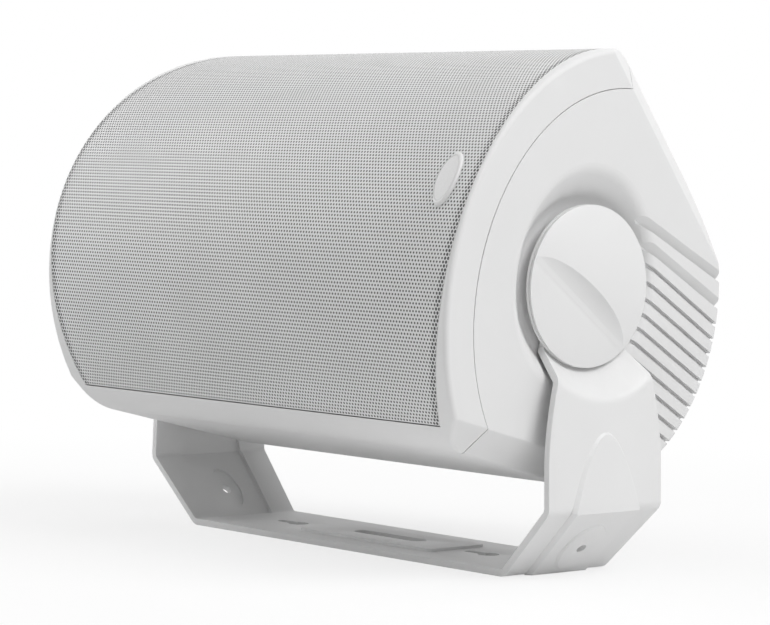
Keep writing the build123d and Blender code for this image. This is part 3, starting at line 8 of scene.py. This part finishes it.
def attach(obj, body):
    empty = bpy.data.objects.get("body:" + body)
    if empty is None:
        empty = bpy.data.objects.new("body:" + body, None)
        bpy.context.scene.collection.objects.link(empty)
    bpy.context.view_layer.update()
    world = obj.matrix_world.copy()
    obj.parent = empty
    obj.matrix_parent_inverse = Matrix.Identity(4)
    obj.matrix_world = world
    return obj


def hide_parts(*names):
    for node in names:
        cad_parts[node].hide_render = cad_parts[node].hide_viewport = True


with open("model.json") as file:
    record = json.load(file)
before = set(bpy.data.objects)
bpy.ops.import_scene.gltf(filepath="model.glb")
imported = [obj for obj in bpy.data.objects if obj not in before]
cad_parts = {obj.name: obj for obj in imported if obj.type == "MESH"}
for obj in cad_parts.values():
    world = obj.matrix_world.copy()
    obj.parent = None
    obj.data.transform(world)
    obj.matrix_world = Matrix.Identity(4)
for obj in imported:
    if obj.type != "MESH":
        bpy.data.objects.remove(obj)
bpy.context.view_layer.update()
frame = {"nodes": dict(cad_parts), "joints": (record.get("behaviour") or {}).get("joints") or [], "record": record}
nodes = frame["nodes"]
scene = bpy.context.scene

# Cabinet: where it pivots, and its own directions in the pose of the photograph; all lengths are in metres
tilt_joint = next(joint for joint in frame["joints"] if joint["name"] == "cabinet_tilt")
PIVOT = Vector(tilt_joint["pos_m"])
TILT = math.radians(29.5)
BACK = Vector((0, math.cos(TILT), -math.sin(TILT)))
UP = Vector((0, math.sin(TILT), math.cos(TILT)))
ALONG = Vector((1, 0, 0))
LYING = (0, math.radians(90), 0)

# Grille: a curved sheet with leaning ends and an edge that is turned in
GRILLE_AXIS_SETBACK = 0.0142
GRILLE_AXIS = PIVOT + BACK * GRILLE_AXIS_SETBACK
GRILLE_RADIUS = 0.109
GRILLE_HALF_HEIGHT = 0.091
GRILLE_END_X = 0.1087
GRILLE_END_SLOPE = 0.334
GRILLE_SHEET = 0.001
GRILLE_HEM = 0.004
GRILLE_BEND = 0.0007
GRILLE_SHARP_EDGE = math.radians(40)
GRILLE_TUBE_LENGTH = 0.32
GRILLE_TUBE_SIDES = 480
GRILLE_FACE_ON = 0.7

# Grille holes: staggered rows, drawn wider where the sheet bends into the hem at each end
HOLE_PITCH = 0.00185
ROW_PITCH = 0.0016
HOLE_RADIUS = 0.00047
HOLE_EDGE_SHARE = 0.08
HOLE_RELIEF = 0.0003
HOLE_ROUGH = 0.9
GRILLE_ROUGH = 0.5
HEM_DRAW = 0.0042
HEM_DRAW_FULL = HEM_DRAW * 0.6
HEM_DRAW_SHARE = 0.3

# Badge: a bare oval plate near the right end of the grille
BADGE_FROM_MIDDLE = 0.1245
BADGE_BELOW_PIVOT = 0.002
BADGE_CENTER = PIVOT + ALONG * BADGE_FROM_MIDDLE - UP * BADGE_BELOW_PIVOT
BADGE_HALF_LENGTH = 0.0125
BADGE_HALF_WIDTH = 0.006
# Border of the badge, as shares of its half sizes: there it is raised by bump and painted paler as a highlight
BADGE_RIM_FROM = 0.82
BADGE_RIM_FULL = 0.88
BADGE_RIM_RELIEF = 0.0004
BADGE_GRAIN = 1800
BADGE_ROUGH = (0.3, 0.4)

# Bracket: the rounding that powder coat leaves on its cut edges
BRACKET_EDGE = 0.0008
BRACKET_SHARP_EDGE = math.radians(38)
MERGE_DISTANCE = 0.000002
FLAT_BELOW = math.radians(0.4)

# Knob: a disc with a low dome, a hub bored for the stud and a shadow groove round its edge
KNOB_RADIUS = 0.035
KNOB_SIDES = 192
KNOB_BACK_X = 0.1218
KNOB_FLAT_X = 0.1247
KNOB_APEX_X = 0.1297
KNOB_DOME_RADIUS = 0.1287
KNOB_DOME_RINGS = 14
KNOB_GROOVE_X = 0.1234
KNOB_GROOVE = 0.0007
KNOB_GROOVE_DEPTH = 0.0012
KNOB_EDGE = 0.0006
KNOB_SHARP_EDGE = math.radians(60)
HUB_RADIUS = 0.0068
HUB_LENGTH = 0.0098
STUD_BORE_RADIUS = 0.00405
STUD_BORE_DEPTH = 0.0075

# Finger wall of the knob: where its foot runs across the flat, how it leans and its inner round
WALL_TURN = math.radians(53.3)
WALL_FOOT_Y = -0.0021
WALL_FOOT_DROP = 0.006
WALL_FOOT = Vector((KNOB_FLAT_X, WALL_FOOT_Y, PIVOT.z - WALL_FOOT_DROP))
WALL_RISE = Vector((0, math.cos(WALL_TURN), math.sin(WALL_TURN)))
WALL_SLOPE = math.radians(45)
WALL_ROUND = 0.0058
WALL_ROUND_STEPS = 18
WALL_TOOL_HEIGHT = 0.012
WALL_TOOL_WIDTH = 0.06
WALL_TOOL_LENGTH = 0.12

# Modelling: steps of a rounded edge, how squarely a chosen face looks, and the angles that stay smooth
EDGE_STEPS = 3
SQUARE_ON = 0.99
SMOOTH_BELOW = math.radians(32)
KNOB_SMOOTH_BELOW = math.radians(20)

# Surfaces: cloud and grain are counts to the metre, and the noise of a texture lies mostly in its middle
CLOUD = 18
GRILLE_CLOUD = 25
CLOUD_DETAIL = 3
GRAIN_DETAIL = 2
GRAIN_ROUGH = 0.6
TOOL_MARK_DETAIL = 4
TOOL_MARK_RELIEF = 0.00003
THREAD_RELIEF = 0.0002
CLOTH_ROUGH = 0.9
NOISE_MIDDLE = (0.3, 0.7)

# Stage: a floor that fades to white away from the bracket, a weak sky and six softboxes
FLOOR_SIZE = 8
FLOOR_TONE = 0.9
FLOOR_ROUGH = 0.9
FLOOR_FADE_REACH = (0.15, 0.6)
FLOOR_FADE = (0.72, 1)
SKY_STRENGTH = 0.16
LAMP_TARGET = Vector((0, 0, 0.12))

# Camera: the photograph's viewing angle, with the lens in pixels of the photograph
PHOTO_WIDTH = 770
FOCAL_PIXELS = 2981.2
SENSOR_WIDTH = 36
CAMERA_PLACE = (1.02275, -0.91086, 0.17449)
CAMERA_AZIMUTH = math.radians(48.51)
CAMERA_ELEVATION = math.radians(2.81)
CAMERA_ROLL = math.radians(1.28)


# Modelling helpers

def clear_selection():
    if bpy.context.object and bpy.context.object.mode != "OBJECT":
        bpy.ops.object.mode_set(mode="OBJECT")
    bpy.ops.object.select_all(action="DESELECT")


def pick(piece):
    """Selects one piece alone and makes it the active one."""
    clear_selection()
    bpy.context.view_layer.objects.active = piece
    piece.select_set(True)


def begin(name):
    """Names the primitive just added and opens it for editing with everything selected."""
    piece = bpy.context.object
    piece.name = name
    piece.data.name = name
    bpy.ops.object.transform_apply(location=True, rotation=True, scale=True)
    bpy.ops.object.mode_set(mode="EDIT")
    bpy.ops.mesh.select_all(action="SELECT")
    return piece


def select_only(piece, kind, chosen):
    """Leaves the piece open for editing with only the chosen points or faces selected."""
    bpy.ops.mesh.select_mode(type=kind)
    bpy.ops.mesh.select_all(action="DESELECT")
    bpy.ops.object.mode_set(mode="OBJECT")
    elements = piece.data.vertices if kind == "VERT" else piece.data.polygons
    for element in elements:
        element.select = chosen(element)
    bpy.ops.object.mode_set(mode="EDIT")


def cut_away(point, normal):
    """Cuts the open piece along a plane and drops the side that the normal points to."""
    bpy.ops.mesh.select_all(action="SELECT")
    bpy.ops.mesh.bisect(plane_co=point, plane_no=normal, clear_outer=True)


def round_edges(piece, width, sharpest):
    """Gives the piece a modifier that rounds the edges which bend by more than an angle."""
    bevel = piece.modifiers.new("edge_round", "BEVEL")
    bevel.width = width
    bevel.segments = EDGE_STEPS
    bevel.angle_limit = sharpest


def apply_modifiers(piece):
    pick(piece)
    for modifier in list(piece.modifiers):
        bpy.ops.object.modifier_apply(modifier=modifier.name)


def cut_out(piece, tool):
    """Cuts the shape of a tool out of the piece and drops the tool."""
    clear_selection()
    boolean = piece.modifiers.new("cut", "BOOLEAN")
    boolean.operation = "DIFFERENCE"
    boolean.solver = "EXACT"
    boolean.object = tool
    apply_modifiers(piece)
    bpy.data.objects.remove(tool)


def finish_piece(piece, body, node, smooth=SMOOTH_BELOW):
    """Smooths a piece and puts it in the place of a node of the frame."""
    pick(piece)
    bpy.ops.object.shade_smooth_by_angle(angle=smooth)
    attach(piece, body)
    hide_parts(node)


# Node helpers

finishes = {}


def new_finish(name):
    """Starts a finish, kept by its name: its node tree, its shader and the place on the piece."""
    finish = bpy.data.materials.new(name)
    finish.use_nodes = True
    finishes[name] = finish
    tree = finish.node_tree
    place = tree.nodes.new("ShaderNodeTexCoord").outputs["Object"]
    return tree, tree.nodes["Principled BSDF"], place


def grey(level):
    return (level, level, level, 1)


def feed(tree, socket, value):
    """Gives a socket a number, a colour or the output of another node."""
    if isinstance(value, bpy.types.NodeSocket):
        tree.links.new(value, socket)
    else:
        socket.default_value = value


def reckon(tree, operation, *values):
    """A sum worked out from numbers and other nodes."""
    node = tree.nodes.new("ShaderNodeMath")
    node.operation = operation
    for socket, value in zip(node.inputs, values):
        feed(tree, socket, value)
    return node.outputs["Value"]


def distance(tree, across, along):
    """The straight distance that two distances at a right angle make."""
    squares = [reckon(tree, "MULTIPLY", side, side) for side in (across, along)]
    return reckon(tree, "SQRT", reckon(tree, "ADD", *squares))


def measured(tree, place, axis):
    """How far a place lies along an axis."""
    dot = tree.nodes.new("ShaderNodeVectorMath")
    dot.operation = "DOT_PRODUCT"
    dot.inputs[1].default_value = axis
    tree.links.new(place, dot.inputs[0])
    return dot.outputs["Value"]


def ranged(tree, source, start, end, low=0, high=1, curve="LINEAR"):
    """Goes from low to high while the source goes from start to end."""
    node = tree.nodes.new("ShaderNodeMapRange")
    node.interpolation_type = curve
    node.inputs["From Min"].default_value = start
    node.inputs["From Max"].default_value = end
    node.inputs["To Min"].default_value = low
    node.inputs["To Max"].default_value = high
    tree.links.new(source, node.inputs["Value"])
    return node.outputs["Result"]


def noise(tree, place, scale, detail, rough=0.5):
    texture = tree.nodes.new("ShaderNodeTexNoise")
    texture.inputs["Scale"].default_value = scale
    texture.inputs["Detail"].default_value = detail
    texture.inputs["Roughness"].default_value = rough
    tree.links.new(place, texture.inputs["Vector"])
    return texture.outputs["Fac"]


def spread(tree, texture, low=0, high=1):
    """Maps a texture's middle range to low and high."""
    return ranged(tree, texture, *NOISE_MIDDLE, low, high)


def tone(tree, factor, dark, light):
    """A colour that goes from dark to light with a factor."""
    mix = tree.nodes.new("ShaderNodeMix")
    mix.data_type = "RGBA"
    feed(tree, mix.inputs["A"], dark)
    feed(tree, mix.inputs["B"], light)
    tree.links.new(factor, mix.inputs["Factor"])
    return mix.outputs["Result"]


def emboss(tree, height, depth):
    bump = tree.nodes.new("ShaderNodeBump")
    bump.inputs["Distance"].default_value = depth
    tree.links.new(height, bump.inputs["Height"])
    return bump.outputs["Normal"]


def dress(tree, shader, colour, rough, relief):
    """Gives a shader its colour, its roughness and its relief."""
    feed(tree, shader.inputs["Base Color"], colour)
    feed(tree, shader.inputs["Roughness"], rough)
    feed(tree, shader.inputs["Normal"], relief)


# Kinds of finish

def grained(name, dark, light, grain, depth, rough):
    """A moulded, painted or cast surface: soft clouds in its tone and a fine grain in its relief."""
    tree, shader, place = new_finish(name)
    clouds = noise(tree, place, CLOUD, CLOUD_DETAIL)
    fine = noise(tree, place, grain, GRAIN_DETAIL, GRAIN_ROUGH)
    colour = tone(tree, spread(tree, clouds), dark, light)
    dress(tree, shader, colour, spread(tree, fine, *rough), emboss(tree, fine, depth))


def woven(name, dark, light, threads):
    """Plain weave of two sets of threads that cross."""
    tree, shader, place = new_finish(name)
    sets = []
    for direction in ("X", "Z"):
        wave = tree.nodes.new("ShaderNodeTexWave")
        wave.inputs["Scale"].default_value = threads
        wave.bands_direction = direction
        tree.links.new(place, wave.inputs["Vector"])
        sets.append(wave.outputs["Fac"])
    weave = reckon(tree, "MULTIPLY", *sets)
    dress(tree, shader, tone(tree, weave, dark, light), CLOTH_ROUGH, emboss(tree, weave, THREAD_RELIEF))


def turned(name, dark, light, marks, rough):
    """Machined metal with fine tool marks."""
    tree, shader, place = new_finish(name)
    lines = noise(tree, place, marks, TOOL_MARK_DETAIL)
    dress(tree, shader, tone(tree, lines, dark, light), rough, emboss(tree, lines, TOOL_MARK_RELIEF))
    shader.inputs["Metallic"].default_value = 1


def rim_highlighted(name, dark, light, rim_highlight):
    """Satin oval plate of the badge, with a painted highlight along its border, which bump also raises."""
    tree, shader, place = new_finish(name)
    shares = []
    for axis, half in ((ALONG, BADGE_HALF_WIDTH), (UP, BADGE_HALF_LENGTH)):
        share = measured(tree, place, axis / half)
        shares.append(reckon(tree, "SUBTRACT", share, BADGE_CENTER.dot(axis) / half))
    # Border of the oval: painted paler as a highlight, and raised by bump
    edge = ranged(tree, distance(tree, *shares), BADGE_RIM_FROM, BADGE_RIM_FULL)
    fine = noise(tree, place, BADGE_GRAIN, GRAIN_DETAIL, GRAIN_ROUGH)
    field = tone(tree, spread(tree, fine), dark, light)
    rough = spread(tree, fine, *BADGE_ROUGH)
    dress(tree, shader, tone(tree, edge, field, rim_highlight), rough, emboss(tree, edge, BADGE_RIM_RELIEF))


def perforated(name, dark, light, hole):
    """Painted sheet with staggered round holes that follow the curve of the grille."""
    tree, shader, place = new_finish(name)
    split = tree.nodes.new("ShaderNodeSeparateXYZ")
    tree.links.new(place, split.inputs["Vector"])
    x, y, z = split.outputs

    def from_middle(count, pitch):
        """How far a place lies from the middle of its cell, from its count in cells."""
        return reckon(tree, "MULTIPLY", reckon(tree, "SUBTRACT", reckon(tree, "FRACT", count), 0.5), pitch)

    # Cells of one hole each: rows are counted round the curve, and every other one is shifted by half a pitch
    forward = reckon(tree, "SUBTRACT", GRILLE_AXIS.y, y)
    upward = reckon(tree, "SUBTRACT", z, GRILLE_AXIS.z)
    row = reckon(tree, "MULTIPLY", reckon(tree, "ARCTAN2", upward, forward), GRILLE_RADIUS / ROW_PITCH)
    odd_row = reckon(tree, "FLOORED_MODULO", reckon(tree, "FLOOR", row), 2)
    shift = reckon(tree, "MULTIPLY", odd_row, 0.5)
    column = reckon(tree, "ADD", reckon(tree, "DIVIDE", x, HOLE_PITCH), shift)
    reach = distance(tree, from_middle(column, HOLE_PITCH), from_middle(row, ROW_PITCH))

    # The sheet is drawn open where it bends into the hem at each end
    lean = measured(tree, place, BACK * GRILLE_END_SLOPE)
    outward = reckon(tree, "ADD", reckon(tree, "ABSOLUTE", x), lean)
    end_line = GRILLE_END_X + PIVOT.dot(BACK) * GRILLE_END_SLOPE
    drawn = ranged(tree, outward, end_line - HEM_DRAW, end_line - HEM_DRAW_FULL)
    reach = reckon(tree, "MULTIPLY", reach, reckon(tree, "MULTIPLY_ADD", drawn, -HEM_DRAW_SHARE, 1))

    # Paint between the holes, and the dark behind the sheet in them
    inside = HOLE_RADIUS * (1 - HOLE_EDGE_SHARE)
    outside = HOLE_RADIUS * (1 + HOLE_EDGE_SHARE)
    opening = ranged(tree, reach, inside, outside, 1, 0)
    clouds = noise(tree, place, GRILLE_CLOUD, CLOUD_DETAIL)
    paint = tone(tree, spread(tree, clouds), dark, light)
    rough = reckon(tree, "MULTIPLY_ADD", opening, HOLE_ROUGH - GRILLE_ROUGH, GRILLE_ROUGH)
    sheet = reckon(tree, "SUBTRACT", 1, opening)
    dress(tree, shader, tone(tree, opening, paint, hole), rough, emboss(tree, sheet, HOLE_RELIEF))


# Outer finishes
WHITE = grey(0.745)
WHITE_LIGHT = grey(0.765)
grained("cabinet_plastic", WHITE, WHITE_LIGHT, grain=2600, depth=0.00006, rough=(0.48, 0.58))
grained("bracket_paint", WHITE, WHITE_LIGHT, grain=1500, depth=0.00003, rough=(0.4, 0.48))
grained("knob_plastic", WHITE, WHITE_LIGHT, grain=2600, depth=0.00004, rough=(0.44, 0.54))
grained("grille_paint", WHITE, WHITE_LIGHT, grain=1500, depth=0.00003, rough=(0.45, 0.55))
perforated("grille_face_paint", grey(0.715), grey(0.745), hole=grey(0.1))
# Badge: its border painted paler as a highlight
rim_highlighted("badge_metal", grey(0.62), grey(0.67), rim_highlight=grey(0.74))
# Seal in the seam: foam, painted pale so that the shaded seam looks lit
grained("seam_foam_painted_light", grey(0.74), grey(0.78), grain=1100, depth=0.00005, rough=(0.75, 0.9))

# Seals, washers and fixings
grained("seal_rubber", grey(0.02), grey(0.035), grain=900, depth=0.00005, rough=(0.6, 0.75))
grained("washer_plastic", grey(0.03), grey(0.05), grain=900, depth=0.00003, rough=(0.35, 0.45))
turned("fixing_steel", grey(0.5), (0.62, 0.62, 0.63, 1), marks=700, rough=0.32)
turned("insert_brass", (0.55, 0.4, 0.16, 1), (0.68, 0.5, 0.22, 1), marks=700, rough=0.3)

# Drivers and the cloth in front of them
FERRITE = (0.03, 0.03, 0.032, 1)
FERRITE_LIGHT = (0.05, 0.05, 0.052, 1)
DOME = (0.3, 0.26, 0.14, 1)
DOME_LIGHT = (0.38, 0.33, 0.18, 1)
woven("scrim_cloth", grey(0.01), grey(0.05), threads=900)
grained("basket_paint", grey(0.012), grey(0.02), grain=1200, depth=0.00004, rough=(0.4, 0.5))
grained("cone_paper", grey(0.015), grey(0.028), grain=500, depth=0.00008, rough=(0.5, 0.65))
woven("spider_cloth", (0.2, 0.12, 0.05, 1), (0.32, 0.2, 0.09, 1), threads=700)
turned("coil_copper", (0.5, 0.22, 0.09, 1), (0.65, 0.3, 0.13, 1), marks=1500, rough=0.28)
turned("motor_steel", (0.35, 0.35, 0.36, 1), (0.46, 0.46, 0.47, 1), marks=500, rough=0.36)
grained("magnet_ferrite", FERRITE, FERRITE_LIGHT, grain=800, depth=0.00006, rough=(0.55, 0.7))
grained("driver_plastic", grey(0.014), grey(0.022), grain=1600, depth=0.00005, rough=(0.42, 0.52))
grained("dome_film", DOME, DOME_LIGHT, grain=600, depth=0.00002, rough=(0.2, 0.3))

# Crossover board and terminals
LAMINATE = (0.06, 0.09, 0.02, 1)
LAMINATE_LIGHT = (0.09, 0.13, 0.03, 1)
SLEEVE = (0.01, 0.014, 0.07, 1)
SLEEVE_LIGHT = (0.016, 0.02, 0.1, 1)
CEMENT = (0.62, 0.6, 0.55, 1)
CEMENT_LIGHT = (0.72, 0.7, 0.65, 1)
RED = (0.28, 0.006, 0.006, 1)
RED_LIGHT = (0.34, 0.008, 0.008, 1)
grained("board_laminate", LAMINATE, LAMINATE_LIGHT, grain=900, depth=0.00003, rough=(0.45, 0.55))
grained("capacitor_sleeve", SLEEVE, SLEEVE_LIGHT, grain=700, depth=0.00002, rough=(0.25, 0.35))
grained("resistor_cement", CEMENT, CEMENT_LIGHT, grain=600, depth=0.0001, rough=(0.75, 0.9))
turned("post_metal", (0.6, 0.45, 0.2, 1), (0.72, 0.56, 0.26, 1), marks=700, rough=0.26)
grained("cap_red", RED, RED_LIGHT, grain=1500, depth=0.00003, rough=(0.3, 0.4))
grained("cap_black", grey(0.012), grey(0.02), grain=1500, depth=0.00003, rough=(0.3, 0.4))

# Every node of the frame takes the finish of its slot, and the seal in the seam is foam painted paler than its own
# colour, as painted light in the shade of the seam
for subpart in frame["record"]["subparts"]:
    node = subpart["node"]
    finish = "seam_foam_painted_light" if node == "cabinet_gasket" else subpart["material_slot"]
    nodes[node].data.materials.clear()
    nodes[node].data.materials.append(finishes[finish])


# Grille

def curved_grille():
    """About a third of a tube, trimmed to its leaning ends, with a hem turned in and a thick sheet."""
    clear_selection()
    bpy.ops.mesh.primitive_cylinder_add(
        vertices=GRILLE_TUBE_SIDES,
        radius=GRILLE_RADIUS,
        depth=GRILLE_TUBE_LENGTH,
        end_fill_type="NOTHING",
        location=GRILLE_AXIS,
        rotation=LYING,
    )
    piece = begin("perforated_grille")
    cut_away(GRILLE_AXIS, BACK)
    cut_away(PIVOT + UP * GRILLE_HALF_HEIGHT, UP)
    cut_away(PIVOT - UP * GRILLE_HALF_HEIGHT, -UP)
    for side in (1, -1):
        cut_away(PIVOT + ALONG * side * GRILLE_END_X, ALONG * side + BACK * GRILLE_END_SLOPE)

    # Hem: the open edge drawn in towards the axis
    bpy.ops.mesh.select_all(action="DESELECT")
    bpy.ops.mesh.select_mode(type="EDGE")
    bpy.ops.mesh.select_non_manifold(extend=False)
    bpy.ops.mesh.extrude_edges_move()
    shrink = 1 - GRILLE_HEM / GRILLE_RADIUS
    bpy.ops.transform.resize(value=(1, shrink, shrink), center_override=GRILLE_AXIS)
    bpy.ops.object.mode_set(mode="OBJECT")

    # The face has the holes, and the hem is plain paint
    piece.data.materials.append(finishes["grille_face_paint"])
    piece.data.materials.append(finishes["grille_paint"])
    for face in piece.data.polygons:
        outward = face.center - GRILLE_AXIS
        outward.x = 0
        if abs(face.normal.dot(outward.normalized())) < GRILLE_FACE_ON:
            face.material_index = 1
    round_edges(piece, GRILLE_BEND, GRILLE_SHARP_EDGE)
    thicken = piece.modifiers.new("sheet", "SOLIDIFY")
    thicken.thickness = GRILLE_SHEET
    thicken.offset = -1
    apply_modifiers(piece)
    return piece


# Bracket

def rounded_bracket():
    """The folded sheet with its cut edges rounded, as powder coat leaves them."""
    piece = bpy.data.objects.new("folded_bracket", nodes["mounting_bracket"].data.copy())
    piece.data.name = piece.name
    scene.collection.objects.link(piece)
    pick(piece)
    bpy.ops.object.mode_set(mode="EDIT")
    bpy.ops.mesh.select_all(action="SELECT")
    bpy.ops.mesh.remove_doubles(threshold=MERGE_DISTANCE)
    bpy.ops.mesh.dissolve_limited(angle_limit=FLAT_BELOW)
    bpy.ops.object.mode_set(mode="OBJECT")
    round_edges(piece, BRACKET_EDGE, BRACKET_SHARP_EDGE)
    apply_modifiers(piece)
    return piece


# Knobs

def dome_drop(reach):
    """How far the dome has fallen below its top at a distance from the knob's axis."""
    return KNOB_DOME_RADIUS - math.sqrt(KNOB_DOME_RADIUS**2 - reach**2)


def wall_tool():
    """Block that stands on the low half of the face, with one side leaning over as the slanted wall."""
    middle = WALL_FOOT + ALONG * WALL_TOOL_HEIGHT / 2 - WALL_RISE * WALL_TOOL_WIDTH / 2
    clear_selection()
    bpy.ops.mesh.primitive_cube_add(
        size=1,
        location=middle,
        rotation=(WALL_TURN, 0, 0),
        scale=(WALL_TOOL_HEIGHT, WALL_TOOL_WIDTH, WALL_TOOL_LENGTH),
    )
    tool = begin("wall_tool")

    def by_wall(vertex):
        return (vertex.co - middle).dot(WALL_RISE) > 0

    select_only(tool, "VERT", lambda vertex: by_wall(vertex) and vertex.co.x > middle.x)
    bpy.ops.transform.translate(value=WALL_RISE * WALL_TOOL_HEIGHT / math.tan(WALL_SLOPE))
    select_only(tool, "VERT", lambda vertex: by_wall(vertex) and vertex.co.x < middle.x)
    bpy.ops.mesh.bevel(
        offset=WALL_ROUND, offset_type="OFFSET", segments=WALL_ROUND_STEPS, affect="EDGES"
    )
    return tool


def domed_knob(name):
    """A low disc whose upper part is a dome, cut off by a slanted wall that a finger pushes against."""
    depth = KNOB_APEX_X - dome_drop(KNOB_RADIUS) - KNOB_BACK_X
    clear_selection()
    bpy.ops.mesh.primitive_cylinder_add(
        vertices=KNOB_SIDES,
        radius=KNOB_RADIUS,
        depth=depth,
        location=(KNOB_BACK_X + depth / 2, 0, PIVOT.z),
        rotation=LYING,
    )
    piece = begin(name)

    # Dome on the front face, ring by ring
    select_only(piece, "FACE", lambda face: face.normal.dot(ALONG) > SQUARE_ON)
    step = KNOB_RADIUS / (KNOB_DOME_RINGS + 1)
    for ring in range(KNOB_DOME_RINGS):
        reach = KNOB_RADIUS - ring * step
        bpy.ops.mesh.inset(thickness=step)
        bpy.ops.transform.translate(value=ALONG * (dome_drop(reach) - dome_drop(reach - step)))

    # Hub behind, bored for the stud
    select_only(piece, "FACE", lambda face: face.normal.dot(-ALONG) > SQUARE_ON)
    bpy.ops.mesh.inset(thickness=KNOB_RADIUS - HUB_RADIUS)
    bpy.ops.mesh.extrude_region_move(TRANSFORM_OT_translate={"value": ALONG * -HUB_LENGTH})
    bpy.ops.mesh.inset(thickness=HUB_RADIUS - STUD_BORE_RADIUS)
    bpy.ops.mesh.extrude_region_move(TRANSFORM_OT_translate={"value": ALONG * STUD_BORE_DEPTH})

    # Shadow groove round the edge
    for offset in (-KNOB_GROOVE / 2, 0, KNOB_GROOVE / 2):
        bpy.ops.mesh.select_all(action="SELECT")
        bpy.ops.mesh.bisect(plane_co=ALONG * (KNOB_GROOVE_X + offset), plane_no=ALONG)
    groove_floor = KNOB_GROOVE / 8
    select_only(piece, "VERT", lambda vertex: abs(vertex.co.x - KNOB_GROOVE_X) < groove_floor)
    shrink = 1 - KNOB_GROOVE_DEPTH / KNOB_RADIUS
    bpy.ops.transform.resize(value=(1, shrink, shrink), center_override=PIVOT)

    cut_out(piece, wall_tool())
    round_edges(piece, KNOB_EDGE, KNOB_SHARP_EDGE)
    apply_modifiers(piece)
    piece.data.materials.append(finishes["knob_plastic"])
    return piece


def turned_round(piece, name):
    """A copy of a piece, with a mesh of its own, for the other end of the cabinet."""
    copy = piece.copy()
    copy.name = name
    copy.data = piece.data.copy()
    copy.data.name = name
    copy.data.transform(Matrix.Rotation(math.pi, 4, "Z"))
    scene.collection.objects.link(copy)
    return copy


finish_piece(curved_grille(), "cabinet", "grille")
finish_piece(rounded_bracket(), "bracket", "mounting_bracket")
right_knob = domed_knob("domed_knob_right")
left_knob = turned_round(right_knob, "domed_knob_left")
for hand, knob in (("right", right_knob), ("left", left_knob)):
    finish_piece(knob, "clamp_" + hand, "knob_" + hand, KNOB_SMOOTH_BELOW)


# Stage

def seen_directly(tree):
    """One for rays that show the background to the lens, straight or by a reflection."""
    rays = tree.nodes.new("ShaderNodeLightPath").outputs
    straight_or_mirrored = reckon(tree, "MAXIMUM", rays["Is Camera Ray"], rays["Is Glossy Ray"])
    return reckon(tree, "MAXIMUM", straight_or_mirrored, rays["Is Transmission Ray"])


def show_plain(tree, factor, lit, plain, output):
    """Lets the plain white take the place of the lit surface by a factor."""
    blend = tree.nodes.new("ShaderNodeMixShader")
    tree.links.new(factor, blend.inputs["Fac"])
    tree.links.new(lit, blend.inputs[1])
    tree.links.new(plain, blend.inputs[2])
    tree.links.new(blend.outputs["Shader"], tree.nodes[output].inputs["Surface"])


def pale_floor():
    """Floor that is white to the lens and keeps a soft shadow near the bracket."""
    clear_selection()
    bpy.ops.mesh.primitive_plane_add(size=FLOOR_SIZE, location=(0, 0, 0))
    floor = bpy.context.object
    floor.name = "studio_floor"
    tree, shader, place = new_finish("pale_floor")
    shader.inputs["Base Color"].default_value = grey(FLOOR_TONE)
    shader.inputs["Roughness"].default_value = FLOOR_ROUGH
    glow = tree.nodes.new("ShaderNodeEmission")
    glow.inputs["Strength"].default_value = 1
    reach = tree.nodes.new("ShaderNodeVectorMath")
    reach.operation = "LENGTH"
    tree.links.new(place, reach.inputs[0])
    fade = ranged(tree, reach.outputs["Value"], *FLOOR_FADE_REACH, *FLOOR_FADE, curve="SMOOTHSTEP")
    seen = reckon(tree, "MULTIPLY", seen_directly(tree), fade)
    show_plain(tree, seen, shader.outputs["BSDF"], glow.outputs["Emission"], "Material Output")
    floor.data.materials.append(finishes["pale_floor"])


def studio_sky():
    """Weak even light from all round, with plain white behind the part."""
    world = bpy.data.worlds.new("studio_sky")
    scene.world = world
    world.use_nodes = True
    tree = world.node_tree
    soft = tree.nodes["Background"]
    plain = tree.nodes.new("ShaderNodeBackground")
    for background, strength in ((soft, SKY_STRENGTH), (plain, 1)):
        background.inputs["Color"].default_value = grey(1)
        background.inputs["Strength"].default_value = strength
    seen = seen_directly(tree)
    show_plain(tree, seen, soft.outputs["Background"], plain.outputs["Background"], "World Output")


def softbox(name, place, size, power):
    """Square lamp that looks at the middle of the part."""
    lamp = bpy.data.lights.new(name, "AREA")
    lamp.energy = power
    lamp.size = size
    holder = bpy.data.objects.new(name, lamp)
    scene.collection.objects.link(holder)
    holder.location = place
    holder.rotation_euler = (LAMP_TARGET - Vector(place)).to_track_quat("-Z", "Y").to_euler()


def photo_camera():
    """Camera at the photograph's viewing angle."""
    lens = bpy.data.cameras.new("camera")
    lens.sensor_width = SENSOR_WIDTH
    lens.sensor_fit = "HORIZONTAL"
    lens.lens = SENSOR_WIDTH * FOCAL_PIXELS / PHOTO_WIDTH
    camera = bpy.data.objects.new("camera", lens)
    scene.collection.objects.link(camera)
    camera.location = CAMERA_PLACE
    turn = Matrix.Rotation(CAMERA_AZIMUTH, 3, "Z")
    tip = Matrix.Rotation(math.radians(90) - CAMERA_ELEVATION, 3, "X")
    roll = Matrix.Rotation(CAMERA_ROLL, 3, "Z")
    camera.rotation_euler = (turn @ tip @ roll).to_euler()
    return camera


pale_floor()
studio_sky()
softbox("key_softbox", place=(1.4, 0.5, 1.6), size=1.2, power=25)
softbox("left_softbox", place=(-1.6, -0.6, 0.9), size=1.2, power=13)
softbox("top_softbox", place=(0.2, -0.2, 1.8), size=1.5, power=7)
softbox("front_softbox", place=(-0.9, -1.6, 1.4), size=1.4, power=6)
softbox("end_softbox", place=(1.6, -0.5, 1.2), size=1.2, power=5)
softbox("back_softbox", place=(-0.4, 1.8, 1.3), size=1.4, power=4)
scene.camera = photo_camera()
scene.view_settings.view_transform = "Standard"
